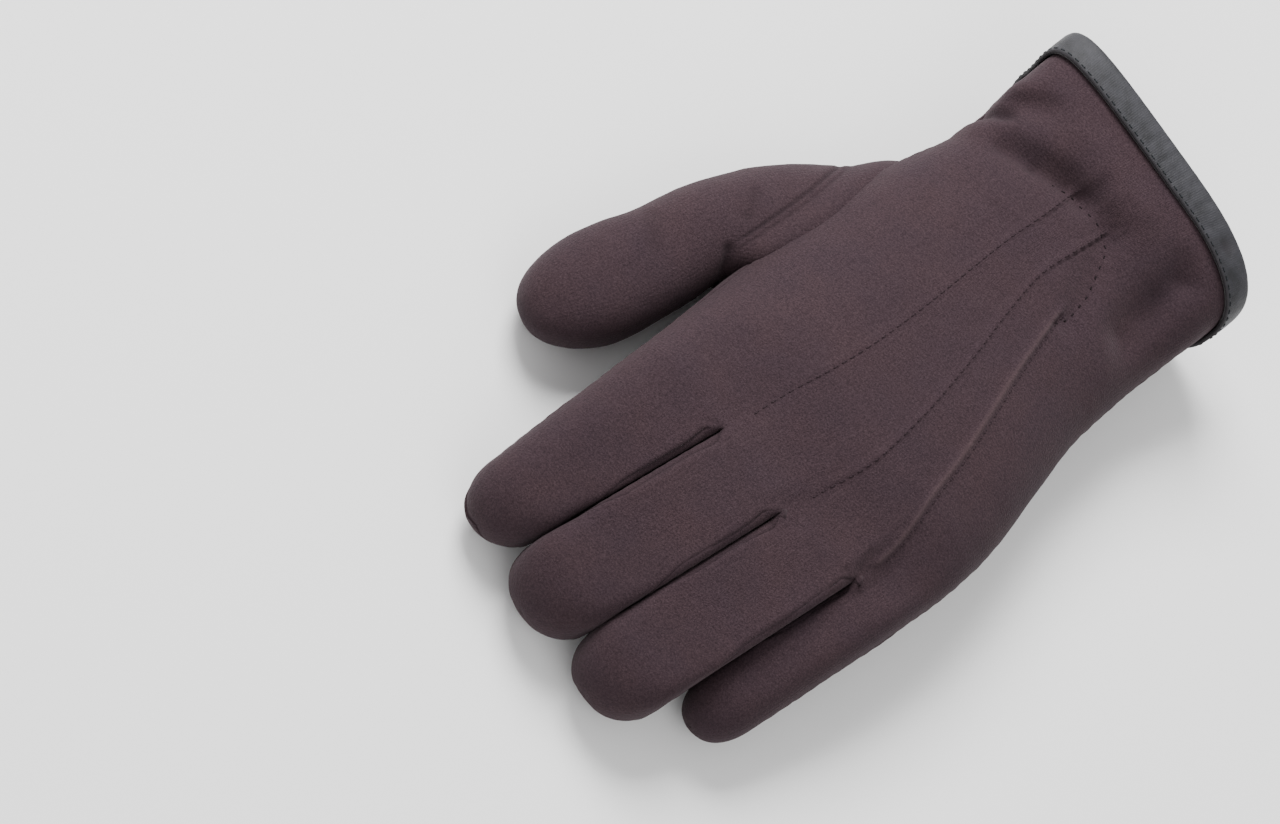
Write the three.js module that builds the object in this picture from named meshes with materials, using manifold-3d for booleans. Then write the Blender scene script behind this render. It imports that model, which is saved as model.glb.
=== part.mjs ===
// A cotton work glove for the left hand, lying palm down with its cloth standing full, as if just taken off.
// It is cut and sewn: a back panel with three raised points, a palm panel, a strip between each two fingers,
// a separate thumb, and a tape folded over the cuff's edge. Every cloth piece is a real wall, and the glove
// is hollow.
// Millimetres. +Y runs from the cuff to the fingertips, +X towards the thumb, +Z up.
// The origin is on the surface that the glove lies on, under the middle of the palm.

import * as THREE from "three";
import { mergeVertices } from "three/addons/utils/BufferGeometryUtils.js";
import Module from "manifold-3d";

// Cloth and seams
const cloth = 2.2; // wall of the double-napped cotton
const seamGap = 0.4; // clear space kept between two pieces that are sewn together
const slitGap = 0.5; // clear space between two neighbouring fingers at the web

// Hand
const palmWidth = 103; // across the finger roots
const palmLength = 160; // from the cuff's upper edge to the web line
const palmHeight = 42; // at the knuckles, filled out
const fingerLength = 67; // the middle finger, from the web line
const thumbWidth = 33; // near its tip
const cuffY = -113; // where the middle of the cuff's upper edge lies
const cuffSlant = 13; // how much shorter the cuff is underneath than on top
const cuffLean = 3.5; // how much farther it reaches at the thumb's side than in the middle
const cuffFlare = 8; // how far its upper corner on the thumb's side would lean out at the full height

// Raised points on the back
const pointHeight = 1.3;

// Strips between the fingers: half the height of the strip as a share of the finger's half height, and where
// along the finger it starts to narrow and has ended
const stripHalf = 0.58;
const stripNarrows = 0.55;
const stripEnds = 0.88;

// Tape folded over the cuff's edge
const tapeWidth = 8;
const tapeThickness = 1.2;
const tapeClearance = 0.35;

// Rows of a table as objects, named by its columns
const table = (columns, rows) => {
  const named = (row) => Object.fromEntries(columns.map((name, i) => [name, row[i]]));
  return rows.map(named);
};

// Sections of the hand from the cuff's edge (along 0) to the web line (along 1).
// radial and ulnar are the two sides' distances from the middle, and point1 to point3 the places of the
// three raised points, all as shares of palmWidth. top and under are heights as shares of palmHeight. The
// last three columns are the section's superellipse exponents: above on the thumb's side, above on the other
// side, and underneath.
const handSections = table(
  [
    ...["along", "radial", "ulnar", "point3", "point2", "point1"],
    ...["top", "under", "radialBend", "ulnarBend", "underBend"],
  ],
  [
    [0.0, 0.476, -0.352, -0.14, 0.0, 0.14, 1.06, -0.02, 4.0, 3.0, 2.4],
    [0.1, 0.47, -0.354, -0.11, 0.015, 0.14, 1.05, -0.02, 3.6, 2.8, 2.4],
    [0.22, 0.458, -0.356, -0.07, 0.028, 0.153, 0.95, -0.02, 2.8, 2.3, 2.3],
    [0.33, 0.487, -0.365, -0.068, 0.036, 0.161, 0.95, -0.05, 2.5, 2.4, 2.3],
    [0.42, 0.505, -0.38, -0.098, 0.01, 0.158, 0.97, -0.08, 2.5, 2.4, 2.4],
    [0.55, 0.51, -0.425, -0.155, -0.04, 0.15, 1.0, -0.09, 2.5, 2.5, 2.5],
    [0.7, 0.51, -0.478, -0.23, -0.085, 0.151, 1.02, -0.08, 2.6, 2.6, 2.6],
    [0.86, 0.502, -0.503, -0.288, -0.105, 0.174, 0.99, 0.04, 2.7, 2.7, 2.7],
    [1.0, 0.495, -0.503, -0.331, -0.071, 0.194, 0.92, 0.22, 2.8, 2.8, 2.8],
  ],
);

// Places of the cloth's rows along the hand, as shares of its length, beyond those at the tape's two edges
const handRows = [0, tapeWidth / palmLength].concat(
  [0.095, 0.14, 0.18, 0.215, 0.25, 0.29, 0.34, 0.4, 0.47, 0.55, 0.63, 0.71, 0.79, 0.85],
);
const webRows = [0.895, 0.93, 0.96, 0.98, 0.992];

// From where to where each raised point runs, as shares of the palm's length
const points = table(
  ["name", "from", "to"],
  [
    ["point3", 0.36, 0.975],
    ["point2", 0.2, 0.955],
    ["point1", 0.19, 0.965],
  ],
);

// The five edges between which the four fingers lie, from the little finger's outer side to the index
// finger's. x is the edge's place at the web line, as a share of palmWidth, and back how far its web lies
// behind the web line, as a share of fingerLength.
const edges = table(
  ["x", "back"],
  [
    [-0.503, 0.224],
    [-0.331, 0.139],
    [-0.071, 0.01],
    [0.194, 0.019],
    [0.495, 0.015],
  ],
);

// The fingers. outer and inner are the places of the finger's two sides beside its tip, the inner one
// towards the thumb, as shares of palmWidth. reach is how far it goes beyond the web line, as a share of
// fingerLength. rootHalf and tipHalf are half the finger's height at its root and near its tip, and lift is
// the height of the root's middle above the surface, as shares of palmHeight.
const fingers = table(
  ["name", "outer", "inner", "reach", "rootHalf", "tipHalf", "lift"],
  [
    ["little", -0.484, -0.304, 0.672, 0.274, 0.224, 0.488],
    ["ring", -0.283, -0.031, 0.985, 0.314, 0.243, 0.571],
    ["middle", -0.019, 0.249, 0.996, 0.324, 0.248, 0.595],
    ["index", 0.258, 0.482, 0.933, 0.319, 0.243, 0.583],
  ],
);
const rootBend = 2.8; // superellipse exponent of a finger's section at its root
const tipBend = 2.1; // and at its tip
const capStart = 0.79; // where along the finger its rounded end starts

// Creases pressed into the back, each from (x1, y1) to (x2, y2): x as a share of palmWidth, y as a share of
// palmLength from the cuff's edge. wide is its half width as a share of palmWidth and deep its depth as a
// share of palmHeight, negative for a ridge.
const creases = table(
  ["x1", "y1", "x2", "y2", "wide", "deep"],
  [
    [0.351, 0.219, 0.14, 0.172, 0.052, 0.085],
    [-0.19, 0.106, -0.223, 0.25, 0.053, 0.081],
    [0.47, 0.18, 0.39, 0.135, 0.045, 0.06],
    [0.12, 0.17, 0.01, 0.18, 0.044, 0.033],
    [0.01, 0.18, -0.115, 0.335, 0.044, 0.033],
    [0.019, 0.11, 0.252, 0.12, 0.065, -0.03],
  ],
);

// The thumb from the ball of the thumb, beside the wrist, to its tip. x and y are its middle line, as shares
// of palmWidth and of palmLength from the cuff's edge. high is its height and thick half its section's
// height, as shares of palmHeight, and wide half its section's width, as a share of thumbWidth.
const thumbSections = table(
  ["x", "y", "high", "wide", "thick"],
  [
    [0.379, 0.294, 0.262, 0.242, 0.238],
    [0.417, 0.412, 0.286, 0.364, 0.31],
    [0.485, 0.544, 0.31, 0.53, 0.357],
    [0.573, 0.65, 0.333, 0.515, 0.357],
    [0.639, 0.731, 0.333, 0.424, 0.345],
    [0.659, 0.831, 0.321, 0.452, 0.321],
    [0.69, 0.944, 0.298, 0.49, 0.298],
    [0.742, 1.087, 0.262, 0.42, 0.262],
  ],
);
const thumbSides = 20;
const thumbSteps = 23;

// Places of the cloth's columns across one finger, and its number of rows along the finger
const backColumns = [0, 0.07, 0.2, 0.35, 0.5, 0.65, 0.8, 0.93, 1];
const palmColumns = [0, 0.12, 0.37, 0.63, 0.88, 1];
const fingerRows = 11;

const clamp = (value, low, high) => Math.min(high, Math.max(low, value));
const mix = (a, b, share) => a + (b - a) * share;
const smooth = (from, to, value) => {
  const share = clamp((value - from) / (to - from), 0, 1);
  return share * share * (3 - 2 * share);
};
const power = (value, exponent) => Math.sign(value) * Math.abs(value) ** exponent;

// One column of a table at a place between its rows, as a smooth curve through them
function trace(rows, key, column, at) {
  const last = rows.length - 1;
  let i = 0;
  while (i < last - 1 && at > rows[i + 1][key]) i++;
  const slope = (k) => {
    const before = rows[Math.max(k - 1, 0)];
    const after = rows[Math.min(k + 1, last)];
    return (after[column] - before[column]) / (after[key] - before[key]);
  };
  const gap = rows[i + 1][key] - rows[i][key];
  const t = (at - rows[i][key]) / gap;
  const [p, q] = [rows[i][column], rows[i + 1][column]];
  const [m, n] = [slope(i) * gap, slope(i + 1) * gap];
  return p + t * (m + t * (3 * (q - p) - 2 * m - n + t * (2 * (p - q) + m + n)));
}

const webY = cuffY + palmLength;
const hand = (column, along) => trace(handSections, "along", column, along);
const numberedEdges = edges.map((edge, i) => ({ ...edge, i }));
const webBack = (across) => fingerLength * trace(numberedEdges, "i", "back", across);
const fingerHalf = (finger, along) => {
  const { rootHalf, tipHalf } = fingers[finger];
  return palmHeight * mix(rootHalf, tipHalf, along);
};

// Height of the side seam between back and palm, as a share of the hand's half height
const sideSeam = (along) => mix(0.1, 0.26, smooth(0.2, 0.5, along)) - 0.11 * smooth(0.8, 1, along);

// The angle at which a superellipse section reaches a height or a side distance, both as shares of its half
// sizes
const angleAtHeight = (share, bend) => Math.asin(power(clamp(share, -1, 1), bend / 2));
const angleAtSide = (share, bend) => Math.acos(power(clamp(share, -1, 1), bend / 2));

// How deep the creases press the back in at a place
function creaseDepth(x, y) {
  let depth = 0;
  for (const { x1, y1, x2, y2, wide, deep } of creases) {
    const [startX, startY] = [palmWidth * x1, cuffY + palmLength * y1];
    const [dx, dy] = [palmWidth * (x2 - x1), palmLength * (y2 - y1)];
    const share = clamp(((x - startX) * dx + (y - startY) * dy) / (dx * dx + dy * dy), 0, 1);
    const away = Math.hypot(x - startX - share * dx, y - startY - share * dy);
    depth += palmHeight * deep * Math.exp(-((away / (palmWidth * wide)) ** 2));
  }
  return depth;
}

// Which exponent holds at an angle of the hand's section
function handBend(angle, along) {
  if (Math.sin(angle) < 0) return hand("underBend", along);
  return hand(Math.cos(angle) > 0 ? "radialBend" : "ulnarBend", along);
}

// A point of the hand's oval. angle goes round the section from the thumb's side over the back, across counts
// the fingers from 0 to 4, along runs from cuff to web, and inset is how deep the point lies in the cloth.
function ovalPoint(angle, across, along, inset) {
  const radial = hand("radial", along) * palmWidth;
  const ulnar = hand("ulnar", along) * palmWidth;
  const top = hand("top", along) * palmHeight;
  const under = hand("under", along) * palmHeight;
  const round = 2 / handBend(angle, along);
  const [side, rise] = [power(Math.cos(angle), round), power(Math.sin(angle), round)];
  const flare = cuffFlare * Math.max(0, side) * Math.max(0, rise) ** 2 * (1 - smooth(0.08, 0.3, along));
  const x = (radial + ulnar) / 2 + ((radial - ulnar) / 2 - inset) * side + flare;
  const z = (top + under) / 2 + ((top - under) / 2 - inset) * rise;
  const lean = cuffLean * Math.max(0, Math.cos(angle)) ** 2;
  const edge = cuffY + cuffSlant * (0.5 - 0.5 * Math.sin(angle)) - lean;
  const y = mix(edge, webY - webBack(across), along);
  return [x, y, z - creaseDepth(x, y) * smooth(0.1, 0.7, Math.sin(angle)) * smooth(0.05, 0.12, along)];
}

// The cloth doesn't sink into the surface, and under the cuff it leaves room for the tape
function restHeight(along, inset) {
  return (tapeThickness + tapeClearance) * (1 - smooth(0.06, 0.14, along)) + inset;
}

// A point of a finger's section. angle goes round it as in ovalPoint, along runs from root to tip.
function fingerPoint(finger, angle, across, along, inset) {
  const { outer, inner, reach, tipHalf, lift } = fingers[finger];
  const left = palmWidth * mix(edges[finger].x, outer, along) + (finger > 0 ? slitGap / 2 : 0);
  const right = palmWidth * mix(edges[finger + 1].x, inner, along) - (finger < 3 ? slitGap / 2 : 0);
  const beyond = clamp((along - capStart) / (1 - capStart), 0, 1);
  const cap = Math.max(0, 1 - beyond ** 2.2) ** (1 / 2.2);
  const wide = ((right - left) / 2 - inset) * cap;
  const thick = (fingerHalf(finger, along) - inset) * cap;
  const round = 2 / mix(rootBend, tipBend, along);
  const centre = palmHeight * mix(lift, tipHalf, 0.35 * along + 0.65 * along * along);
  const middleBack = (fingerLength * (edges[finger].back + edges[finger + 1].back)) / 2;
  const root = webY - mix(webBack(across), middleBack, smooth(0, 0.5, along));
  return [
    (left + right) / 2 + wide * power(Math.cos(angle), round),
    root + (reach * fingerLength + middleBack - inset) * along,
    centre + thick * power(Math.sin(angle), round),
  ];
}

// Half the strip between the fingers, as a share of the finger's half height
const stripShare = (along) => stripHalf * (1 - smooth(stripNarrows, stripEnds, along));

// The section angle of a panel's column on a finger. side is 1 on the back and -1 on the palm.
function fingerAngle(finger, column, along, side) {
  const bend = mix(rootBend, tipBend, along);
  const seam = (outer) => angleAtHeight(outer ? side * sideSeam(1) : stripShare(along), bend);
  return side * mix(Math.PI - seam(finger === 0), seam(finger === 3), column);
}

// And on the hand
function ovalAngle(finger, column, along, side) {
  const [radial, ulnar] = [hand("radial", along), hand("ulnar", along)];
  const atPoint = (name) => {
    const share = (2 * hand(name, along) - radial - ulnar) / (radial - ulnar);
    return angleAtSide(share, handBend(side * (share > 0 ? 1 : 2), along));
  };
  const seam = side * angleAtHeight(sideSeam(along), hand("radialBend", along));
  const columnAngles = [Math.PI, ...points.map((point) => atPoint(point.name)), seam];
  return side * mix(columnAngles[finger], columnAngles[finger + 1], column);
}

// The three raised points run along the lines between the fingers
function pointRidge(finger, column, along) {
  const line = finger + Math.round(column) - 1;
  if (line < 0 || line > 2 || (column > 0 && column < 1)) return 0;
  const { from, to } = points[line];
  return pointHeight * smooth(from, from + 0.05, along) * (1 - smooth(to - 0.03, to, along));
}

const turnToFingers = (along) => smooth(0.88, 1, along);

// A point of a panel in the hand, from the cuff to the webs. The oval turns into four finger roots side by
// side.
function handPoint(finger, column, along, side, inset) {
  const oval = ovalPoint(ovalAngle(finger, column, along, side), finger + column, along, inset);
  const root = fingerPoint(finger, fingerAngle(finger, column, 0, side), finger + column, 0, inset);
  const turn = turnToFingers(along);
  const bump = side > 0 ? pointRidge(finger, column, along) : 0;
  return [mix(oval[0], root[0], turn), oval[1], mix(oval[2], root[2], turn) + bump];
}

// The same with the cloth closed behind the webs: there two fingers' edges are one line, above the strip's
// end
function closedPoint(finger, column, along, side, inset) {
  const other = column === 0 ? finger - 1 : finger + 1;
  const shared = (column === 0 || column === 1) && other >= 0 && other < 4;
  const point = handPoint(finger, column, along, side, shared ? 0 : inset);
  if (shared) {
    const twin = handPoint(other, 1 - column, along, side, 0);
    const turn = turnToFingers(along);
    point[0] = (point[0] + twin[0]) / 2;
    point[2] = (point[2] + twin[2]) / 2 + side * (turn * (cloth + seamGap) - inset);
  }
  return settle(point, along, side, inset);
}

// Parts the two panels by the seam gap and lays the point on the surface
function settle([x, y, z], along, side, inset) {
  return [x, y, Math.max(z + (side * seamGap) / 2, restHeight(along, inset))];
}

// A wall of cloth: each node has a point on the outside and one on the inside, and its free edges get a rim
class ClothSheet {
  constructor() {
    this.outside = [];
    this.inside = [];
    this.triangles = [];
    this.known = new Map();
  }

  node(outer, inner) {
    const key = [...outer, ...inner].map((value) => Math.round(value * 1000)).join();
    if (!this.known.has(key)) {
      this.known.set(key, this.outside.length);
      this.outside.push(outer);
      this.inside.push(inner);
    }
    return this.known.get(key);
  }

  // Adds a grid of nodes, given as rows of indices
  grid(rows, flip) {
    for (let i = 0; i + 1 < rows.length; i++)
      for (let j = 0; j + 1 < rows[i].length; j++) {
        const [a, b, c, d] = [rows[i][j], rows[i][j + 1], rows[i + 1][j + 1], rows[i + 1][j]];
        this.face(a, b, c, flip);
        this.face(a, c, d, flip);
      }
  }

  face(a, b, c, flip) {
    if (a === b || b === c || c === a) return;
    this.triangles.push(flip ? [a, c, b] : [a, b, c]);
  }

  geometry() {
    const count = this.outside.length;
    const edges = new Map();
    const index = [];
    for (const [a, b, c] of this.triangles) {
      index.push(a, b, c, a + count, c + count, b + count);
      for (const [p, q] of [[a, b], [b, c], [c, a]]) {
        if (!edges.delete(q + "_" + p)) edges.set(p + "_" + q, [p, q]);
      }
    }
    for (const [p, q] of edges.values()) index.push(q, p, p + count, q, p + count, q + count);
    return new THREE.BufferGeometry()
      .setAttribute("position", new THREE.Float32BufferAttribute([...this.outside, ...this.inside].flat(), 3))
      .setIndex(index);
  }
}

const fingerSteps = [...Array(fingerRows).keys()].map((i) => 1 - (1 - (i + 1) / fingerRows) ** 1.25);

function panelGeometry(side) {
  const sheet = new ClothSheet();
  const columns = side > 0 ? backColumns : palmColumns;
  const row = (point) => columns.map((column) => sheet.node(point(column, 0), point(column, cloth)));
  fingers.forEach((_, finger) => {
    const closed = [...handRows, ...webRows].map((along) =>
      row((column, inset) => closedPoint(finger, column, along, side, inset)),
    );
    const web = row((column, inset) => settle(handPoint(finger, column, 1, side, inset), 1, side, inset));
    const open = fingerSteps.map((along) =>
      row((column, inset) => {
        const angle = fingerAngle(finger, column, along, side);
        return settle(fingerPoint(finger, angle, finger + column, along, inset), 1, side, inset);
      }),
    );
    sheet.grid([...closed, web, ...open], side < 0);
  });
  return sheet.geometry();
}

// The strip down the side of one finger, round the web and up the next
function fourchetteGeometry(slit) {
  const sheet = new ClothSheet();
  const levels = [-1, 0, 1];
  const wallRows = [0, ...fingerSteps.filter((along) => along < stripEnds - 0.05)];
  const turnSteps = [0.2, 0.4, 0.6, 0.8];
  const wallPoint = (finger, along, level, inset) => {
    const share = stripShare(along) - seamGap / 2 / fingerHalf(finger, along);
    const turn = angleAtHeight(level * share, mix(rootBend, tipBend, along));
    return fingerPoint(finger, finger === slit ? Math.PI - turn : turn, slit, along, inset);
  };
  const turnPoint = (share, level, inset) => {
    const from = wallPoint(slit - 1, 0, level, inset);
    const to = wallPoint(slit, 0, level, inset);
    const angle = share * Math.PI;
    return [
      mix(from[0], to[0], 0.5 - 0.5 * Math.cos(angle)),
      from[1] - ((to[0] - from[0]) / 2) * Math.sin(angle),
      mix(from[2], to[2], share),
    ];
  };
  const row = (point) => levels.map((level) => sheet.node(point(level, 0), point(level, cloth)));
  const wallRow = (finger) => (along) => row((level, inset) => wallPoint(finger, along, level, inset));
  const down = [...wallRows].reverse().map(wallRow(slit - 1));
  const round = turnSteps.map((share) => row((level, inset) => turnPoint(share, level, inset)));
  const up = wallRows.map(wallRow(slit));
  sheet.grid([...down, ...round, ...up], false);
  return sheet.geometry();
}

// The thumb's closed outer form, or its hollow when inset is the cloth, or a form grown by a negative inset
function thumbGeometry(inset) {
  const last = thumbSections.length - 1;
  const rows = thumbSections.map((section, i) => ({
    i,
    x: palmWidth * section.x,
    y: cuffY + palmLength * section.y,
    high: palmHeight * section.high,
    wide: thumbWidth * section.wide,
    thick: palmHeight * section.thick,
  }));
  const at = (column, place) => trace(rows, "i", column, place);
  const thumbLength = rows[last].y - rows[0].y;
  const tipStart = 0.84;
  const ballEnd = 0.16;
  const nodes = [];
  const index = [];
  const steps = thumbSteps;
  for (let i = 0; i <= steps; i++) {
    const along = 0.5 - 0.5 * Math.cos((Math.PI * i) / steps);
    const share = mix(inset, thumbLength - inset, along) / thumbLength;
    const place = share * last;
    const [ahead, behind] = [Math.min(last, place + 0.05), Math.max(0, place - 0.05)];
    const [stepX, stepY] = [at("x", ahead) - at("x", behind), at("y", ahead) - at("y", behind)];
    const heading = new THREE.Vector2(stepX, stepY).normalize();
    const tip = clamp((along - tipStart) / (1 - tipStart), 0, 1);
    const ball = clamp((ballEnd - along) / ballEnd, 0, 1);
    const cap = Math.sqrt(Math.max(0, 1 - tip ** 3)) * Math.sqrt(Math.max(0, 1 - ball ** 2));
    const wide = (at("wide", place) - inset) * cap;
    const thick = (at("thick", place) - inset) * cap;
    for (let j = 0; j < thumbSides; j++) {
      const angle = (2 * Math.PI * j) / thumbSides;
      const side = wide * power(Math.cos(angle), 2 / 2.3);
      const rise = at("high", place) + thick * power(Math.sin(angle), 2 / 2.3);
      nodes.push(at("x", place) + side * heading.y, at("y", place) - side * heading.x, Math.max(rise, inset));
    }
  }
  for (let i = 0; i < steps; i++)
    for (let j = 0; j < thumbSides; j++) {
      const k = (j + 1) % thumbSides;
      const [start, next] = [i * thumbSides, (i + 1) * thumbSides];
      const [a, b, c, d] = [start + j, start + k, next + k, next + j];
      index.push(a, c, b, a, d, c);
    }
  return meshOf(nodes, index);
}

// The hand's hollow from the cuff to the webs, closed at both ends
function hollowGeometry() {
  const sides = 40;
  const nodes = [];
  const index = [];
  const inset = cloth + seamGap;
  for (const along of handRows) {
    for (let j = 0; j < sides; j++) {
      const [x, y, z] = ovalPoint((2 * Math.PI * j) / sides, 2, along, inset);
      nodes.push(x, y, Math.max(z, restHeight(along, inset)));
    }
  }
  for (let i = 0; i + 1 < handRows.length; i++)
    for (let j = 0; j < sides; j++) {
      const k = (j + 1) % sides;
      const [a, b, c, d] = [i * sides + j, i * sides + k, (i + 1) * sides + k, (i + 1) * sides + j];
      index.push(a, c, b, a, d, c);
    }
  for (let j = 1; j + 1 < sides; j++) {
    const end = (handRows.length - 1) * sides;
    index.push(0, j, j + 1, end, end + j + 1, end + j);
  }
  return meshOf(nodes, index);
}

function meshOf(positions, index) {
  return new THREE.BufferGeometry()
    .setAttribute("position", new THREE.Float32BufferAttribute(positions, 3))
    .setIndex(index);
}

// The tape: a folded strip, carried round the cuff's edge at the panels' own columns
function tapeGeometry() {
  const [edge, end] = handRows;
  const outside = -tapeClearance - tapeThickness;
  const inside = cloth + tapeClearance + tapeThickness;
  const fold = -tapeClearance - tapeThickness;
  const section = [
    [end, 0, outside],
    [edge, 0, outside],
    [edge, 0.7 * fold, -0.6 * tapeThickness],
    [edge, fold, 0.25 * cloth],
    [edge, fold, 0.75 * cloth],
    [edge, 0.7 * fold, cloth + 0.6 * tapeThickness],
    [edge, 0, inside],
    [end, 0, inside],
    [end, 0, cloth + tapeClearance],
    [edge, 0, cloth + tapeClearance],
    [edge, -tapeClearance, cloth + tapeClearance],
    [edge, -tapeClearance, -tapeClearance],
    [edge, 0, -tapeClearance],
    [end, 0, -tapeClearance],
  ];
  const stations = [];
  for (const side of [1, -1]) {
    const columns = side > 0 ? backColumns : palmColumns;
    const ofFinger = (_, finger) => columns.slice(finger > 0 ? 1 : 0).map((column) => [finger, column, side]);
    const run = fingers.flatMap(ofFinger);
    stations.push(...(side > 0 ? run : run.reverse()));
  }
  const nodes = [];
  const index = [];
  for (const [finger, column, side] of stations)
    for (const [along, beyond, inset] of section) {
      const [x, y, z] = closedPoint(finger, column, along, side, inset);
      nodes.push(x, y + beyond, z);
    }
  const count = section.length;
  for (let i = 0; i < stations.length; i++)
    for (let j = 0; j < count; j++) {
      const [n, k] = [((i + 1) % stations.length) * count, (j + 1) % count];
      index.push(i * count + j, n + k, n + j, i * count + j, i * count + k, n + k);
    }
  return meshOf(nodes, index);
}

const wasm = await Module();
wasm.setup();

// A closed geometry as a solid for joining and cutting, and back
function solidOf(geometry) {
  const plain = geometry.clone();
  plain.deleteAttribute("normal");
  const merged = mergeVertices(plain, 1e-4);
  const index = [];
  for (let i = 0; i < merged.index.count; i += 3) {
    const [a, b, c] = [0, 1, 2].map((k) => merged.index.getX(i + k));
    if (a !== b && b !== c && c !== a) index.push(a, b, c);
  }
  return new wasm.Manifold(
    new wasm.Mesh({
      numProp: 3,
      vertProperties: merged.attributes.position.array,
      triVerts: new Uint32Array(index),
    }),
  );
}

function geometryOf(solid) {
  const mesh = solid.getMesh();
  return new THREE.BufferGeometry()
    .setAttribute("position", new THREE.BufferAttribute(new Float32Array(mesh.vertProperties), 3))
    .setIndex(new THREE.BufferAttribute(mesh.triVerts, 1));
}

// The thumb replaces the panels' cloth where it goes in, and its own cloth ends at the hand's hollow
const thumbRoom = solidOf(thumbGeometry(-seamGap));
const thumbShell = solidOf(thumbGeometry(0)).subtract(solidOf(thumbGeometry(cloth)));
const thumb = thumbShell.subtract(solidOf(hollowGeometry()));
const back = solidOf(panelGeometry(1)).subtract(thumbRoom);
const palm = solidOf(panelGeometry(-1)).subtract(thumbRoom);

const largest = (solid) => solid.decompose().sort((a, b) => b.volume() - a.volume())[0];

const brownCotton = () => new THREE.MeshStandardMaterial({ color: 0x4a3e41, roughness: 0.95, metalness: 0 });
const blackTape = new THREE.MeshStandardMaterial({ color: 0x2e3236, roughness: 0.6, metalness: 0 });

function piece(name, geometry, material) {
  geometry.computeVertexNormals();
  const mesh = new THREE.Mesh(geometry, material);
  mesh.name = name;
  return mesh;
}

const glove = new THREE.Group();
glove.add(piece("back_panel", geometryOf(largest(back)), brownCotton()));
glove.add(piece("palm_panel", geometryOf(largest(palm)), brownCotton()));
glove.add(piece("thumb", geometryOf(largest(thumb)), brownCotton()));
glove.add(piece("ring_little_fourchette", fourchetteGeometry(1), brownCotton()));
glove.add(piece("middle_ring_fourchette", fourchetteGeometry(2), brownCotton()));
glove.add(piece("index_middle_fourchette", fourchetteGeometry(3), brownCotton()));
glove.add(piece("cuff_binding", tapeGeometry(), blackTape));

export default glove;
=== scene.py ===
"""The looks of a cotton work glove for the left hand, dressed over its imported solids.

Tables and sizes are millimetres, or shares of the named sizes, and a mesh gets metres.
+Y runs from the cuff to the fingertips, +X towards the thumb and +Z up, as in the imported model.
"""

import logging
import math
from collections.abc import Callable
from dataclasses import dataclass, field
from enum import Enum
from itertools import product

import bpy
import numpy as np
from mathutils import Matrix, Vector

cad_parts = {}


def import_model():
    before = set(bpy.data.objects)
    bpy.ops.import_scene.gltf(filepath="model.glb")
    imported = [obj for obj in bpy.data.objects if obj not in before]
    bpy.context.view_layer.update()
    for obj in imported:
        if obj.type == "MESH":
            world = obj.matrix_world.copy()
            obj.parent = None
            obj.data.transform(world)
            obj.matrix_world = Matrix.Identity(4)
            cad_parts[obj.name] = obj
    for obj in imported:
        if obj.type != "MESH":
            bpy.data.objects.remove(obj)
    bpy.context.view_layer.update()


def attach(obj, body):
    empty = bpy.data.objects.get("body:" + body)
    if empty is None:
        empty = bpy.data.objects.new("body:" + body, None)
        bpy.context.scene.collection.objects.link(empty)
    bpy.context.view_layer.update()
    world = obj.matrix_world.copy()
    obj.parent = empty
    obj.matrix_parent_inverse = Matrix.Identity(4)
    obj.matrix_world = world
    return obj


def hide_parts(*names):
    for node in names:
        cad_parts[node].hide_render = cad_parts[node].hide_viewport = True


Array = np.ndarray
Place = Callable[[int, Array], Array]
Color = tuple[float, float, float, float]
Socket = bpy.types.NodeSocket
MM = 0.001
TINY = 1e-9
LOG = logging.getLogger("work_glove")

# How many random values the lattice noise picks from, and the primes that turn a corner into a pick
NOISE_VALUES = 4096
NOISE_PRIMES = (73856093, 19349663, 83492791)

# In millimetres: relief as deep as the first gets the full painted shade, and relief over RUB_START is rubbed
PAINTED_SHADE_DEPTH = 0.7
RUB_START = 0.35

# The brown cloth between its tufts and on their tips, which its sewing thread takes too as the painted shade
# between its plies and the painted light on top of them
BROWN_DARK: Color = (0.0178, 0.0102, 0.0132, 1.0)
BROWN_LIGHT: Color = (0.0445, 0.0285, 0.0335, 1.0)


class Side(Enum):
    """Which half of the hand a panel covers."""

    BACK = 1
    PALM = -1


def smooth(start: float, end: float, value: Array) -> Array:
    """Eased step: 3s^2 - 2s^3 of the share s of the way from start to end."""
    share = np.clip((value - start) / (end - start), 0.0, 1.0)
    return share * share * (3.0 - 2.0 * share)


def mix(first: Array, second: Array, share: Array) -> Array:
    """Straight blend from first (share 0) to second (share 1)."""
    return first + (second - first) * share


def power(value: Array, exponent: Array) -> Array:
    """Power that keeps the sign of its base."""
    return np.sign(value) * np.abs(value) ** exponent


def bell(distance: Array, width: float) -> Array:
    """Bell curve exp(-(distance / width)^2)."""
    return np.exp(-((distance / width) ** 2))


def lattice_noise(points: Array, cell: float, seed: int) -> Array:
    """Soft random relief between -1 and 1.

    A random value stands at each corner of a cubic lattice, and a point takes the eased
    three-way blend of the eight corners round it.

    Args:
        points: Places, shape (n, 3).
        cell: Lattice spacing, in the points' own unit.
        seed: Seed of the random values.

    Returns:
        One value for each point.
    """
    values = np.random.default_rng(seed).uniform(-1.0, 1.0, NOISE_VALUES)
    scaled = points / cell
    corner = np.floor(scaled).astype(np.int64)
    share = scaled - corner
    share = share * share * (3.0 - 2.0 * share)
    total = np.zeros(len(points))
    for dx, dy, dz in product((0, 1), repeat=3):
        x, y, z = ((corner[:, k] + step) * NOISE_PRIMES[k] for k, step in enumerate((dx, dy, dz)))
        pick = values[(x ^ y ^ z) & (NOISE_VALUES - 1)]
        weight = np.abs(1 - dx - share[:, 0]) * np.abs(1 - dy - share[:, 1])
        total += pick * weight * np.abs(1 - dz - share[:, 2])
    return total


def stacked(x: Array, y: Array, z: Array) -> Array:
    """Points with x, y and z in the last axis."""
    return np.stack(np.broadcast_arrays(x, y, z), axis=-1)


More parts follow.
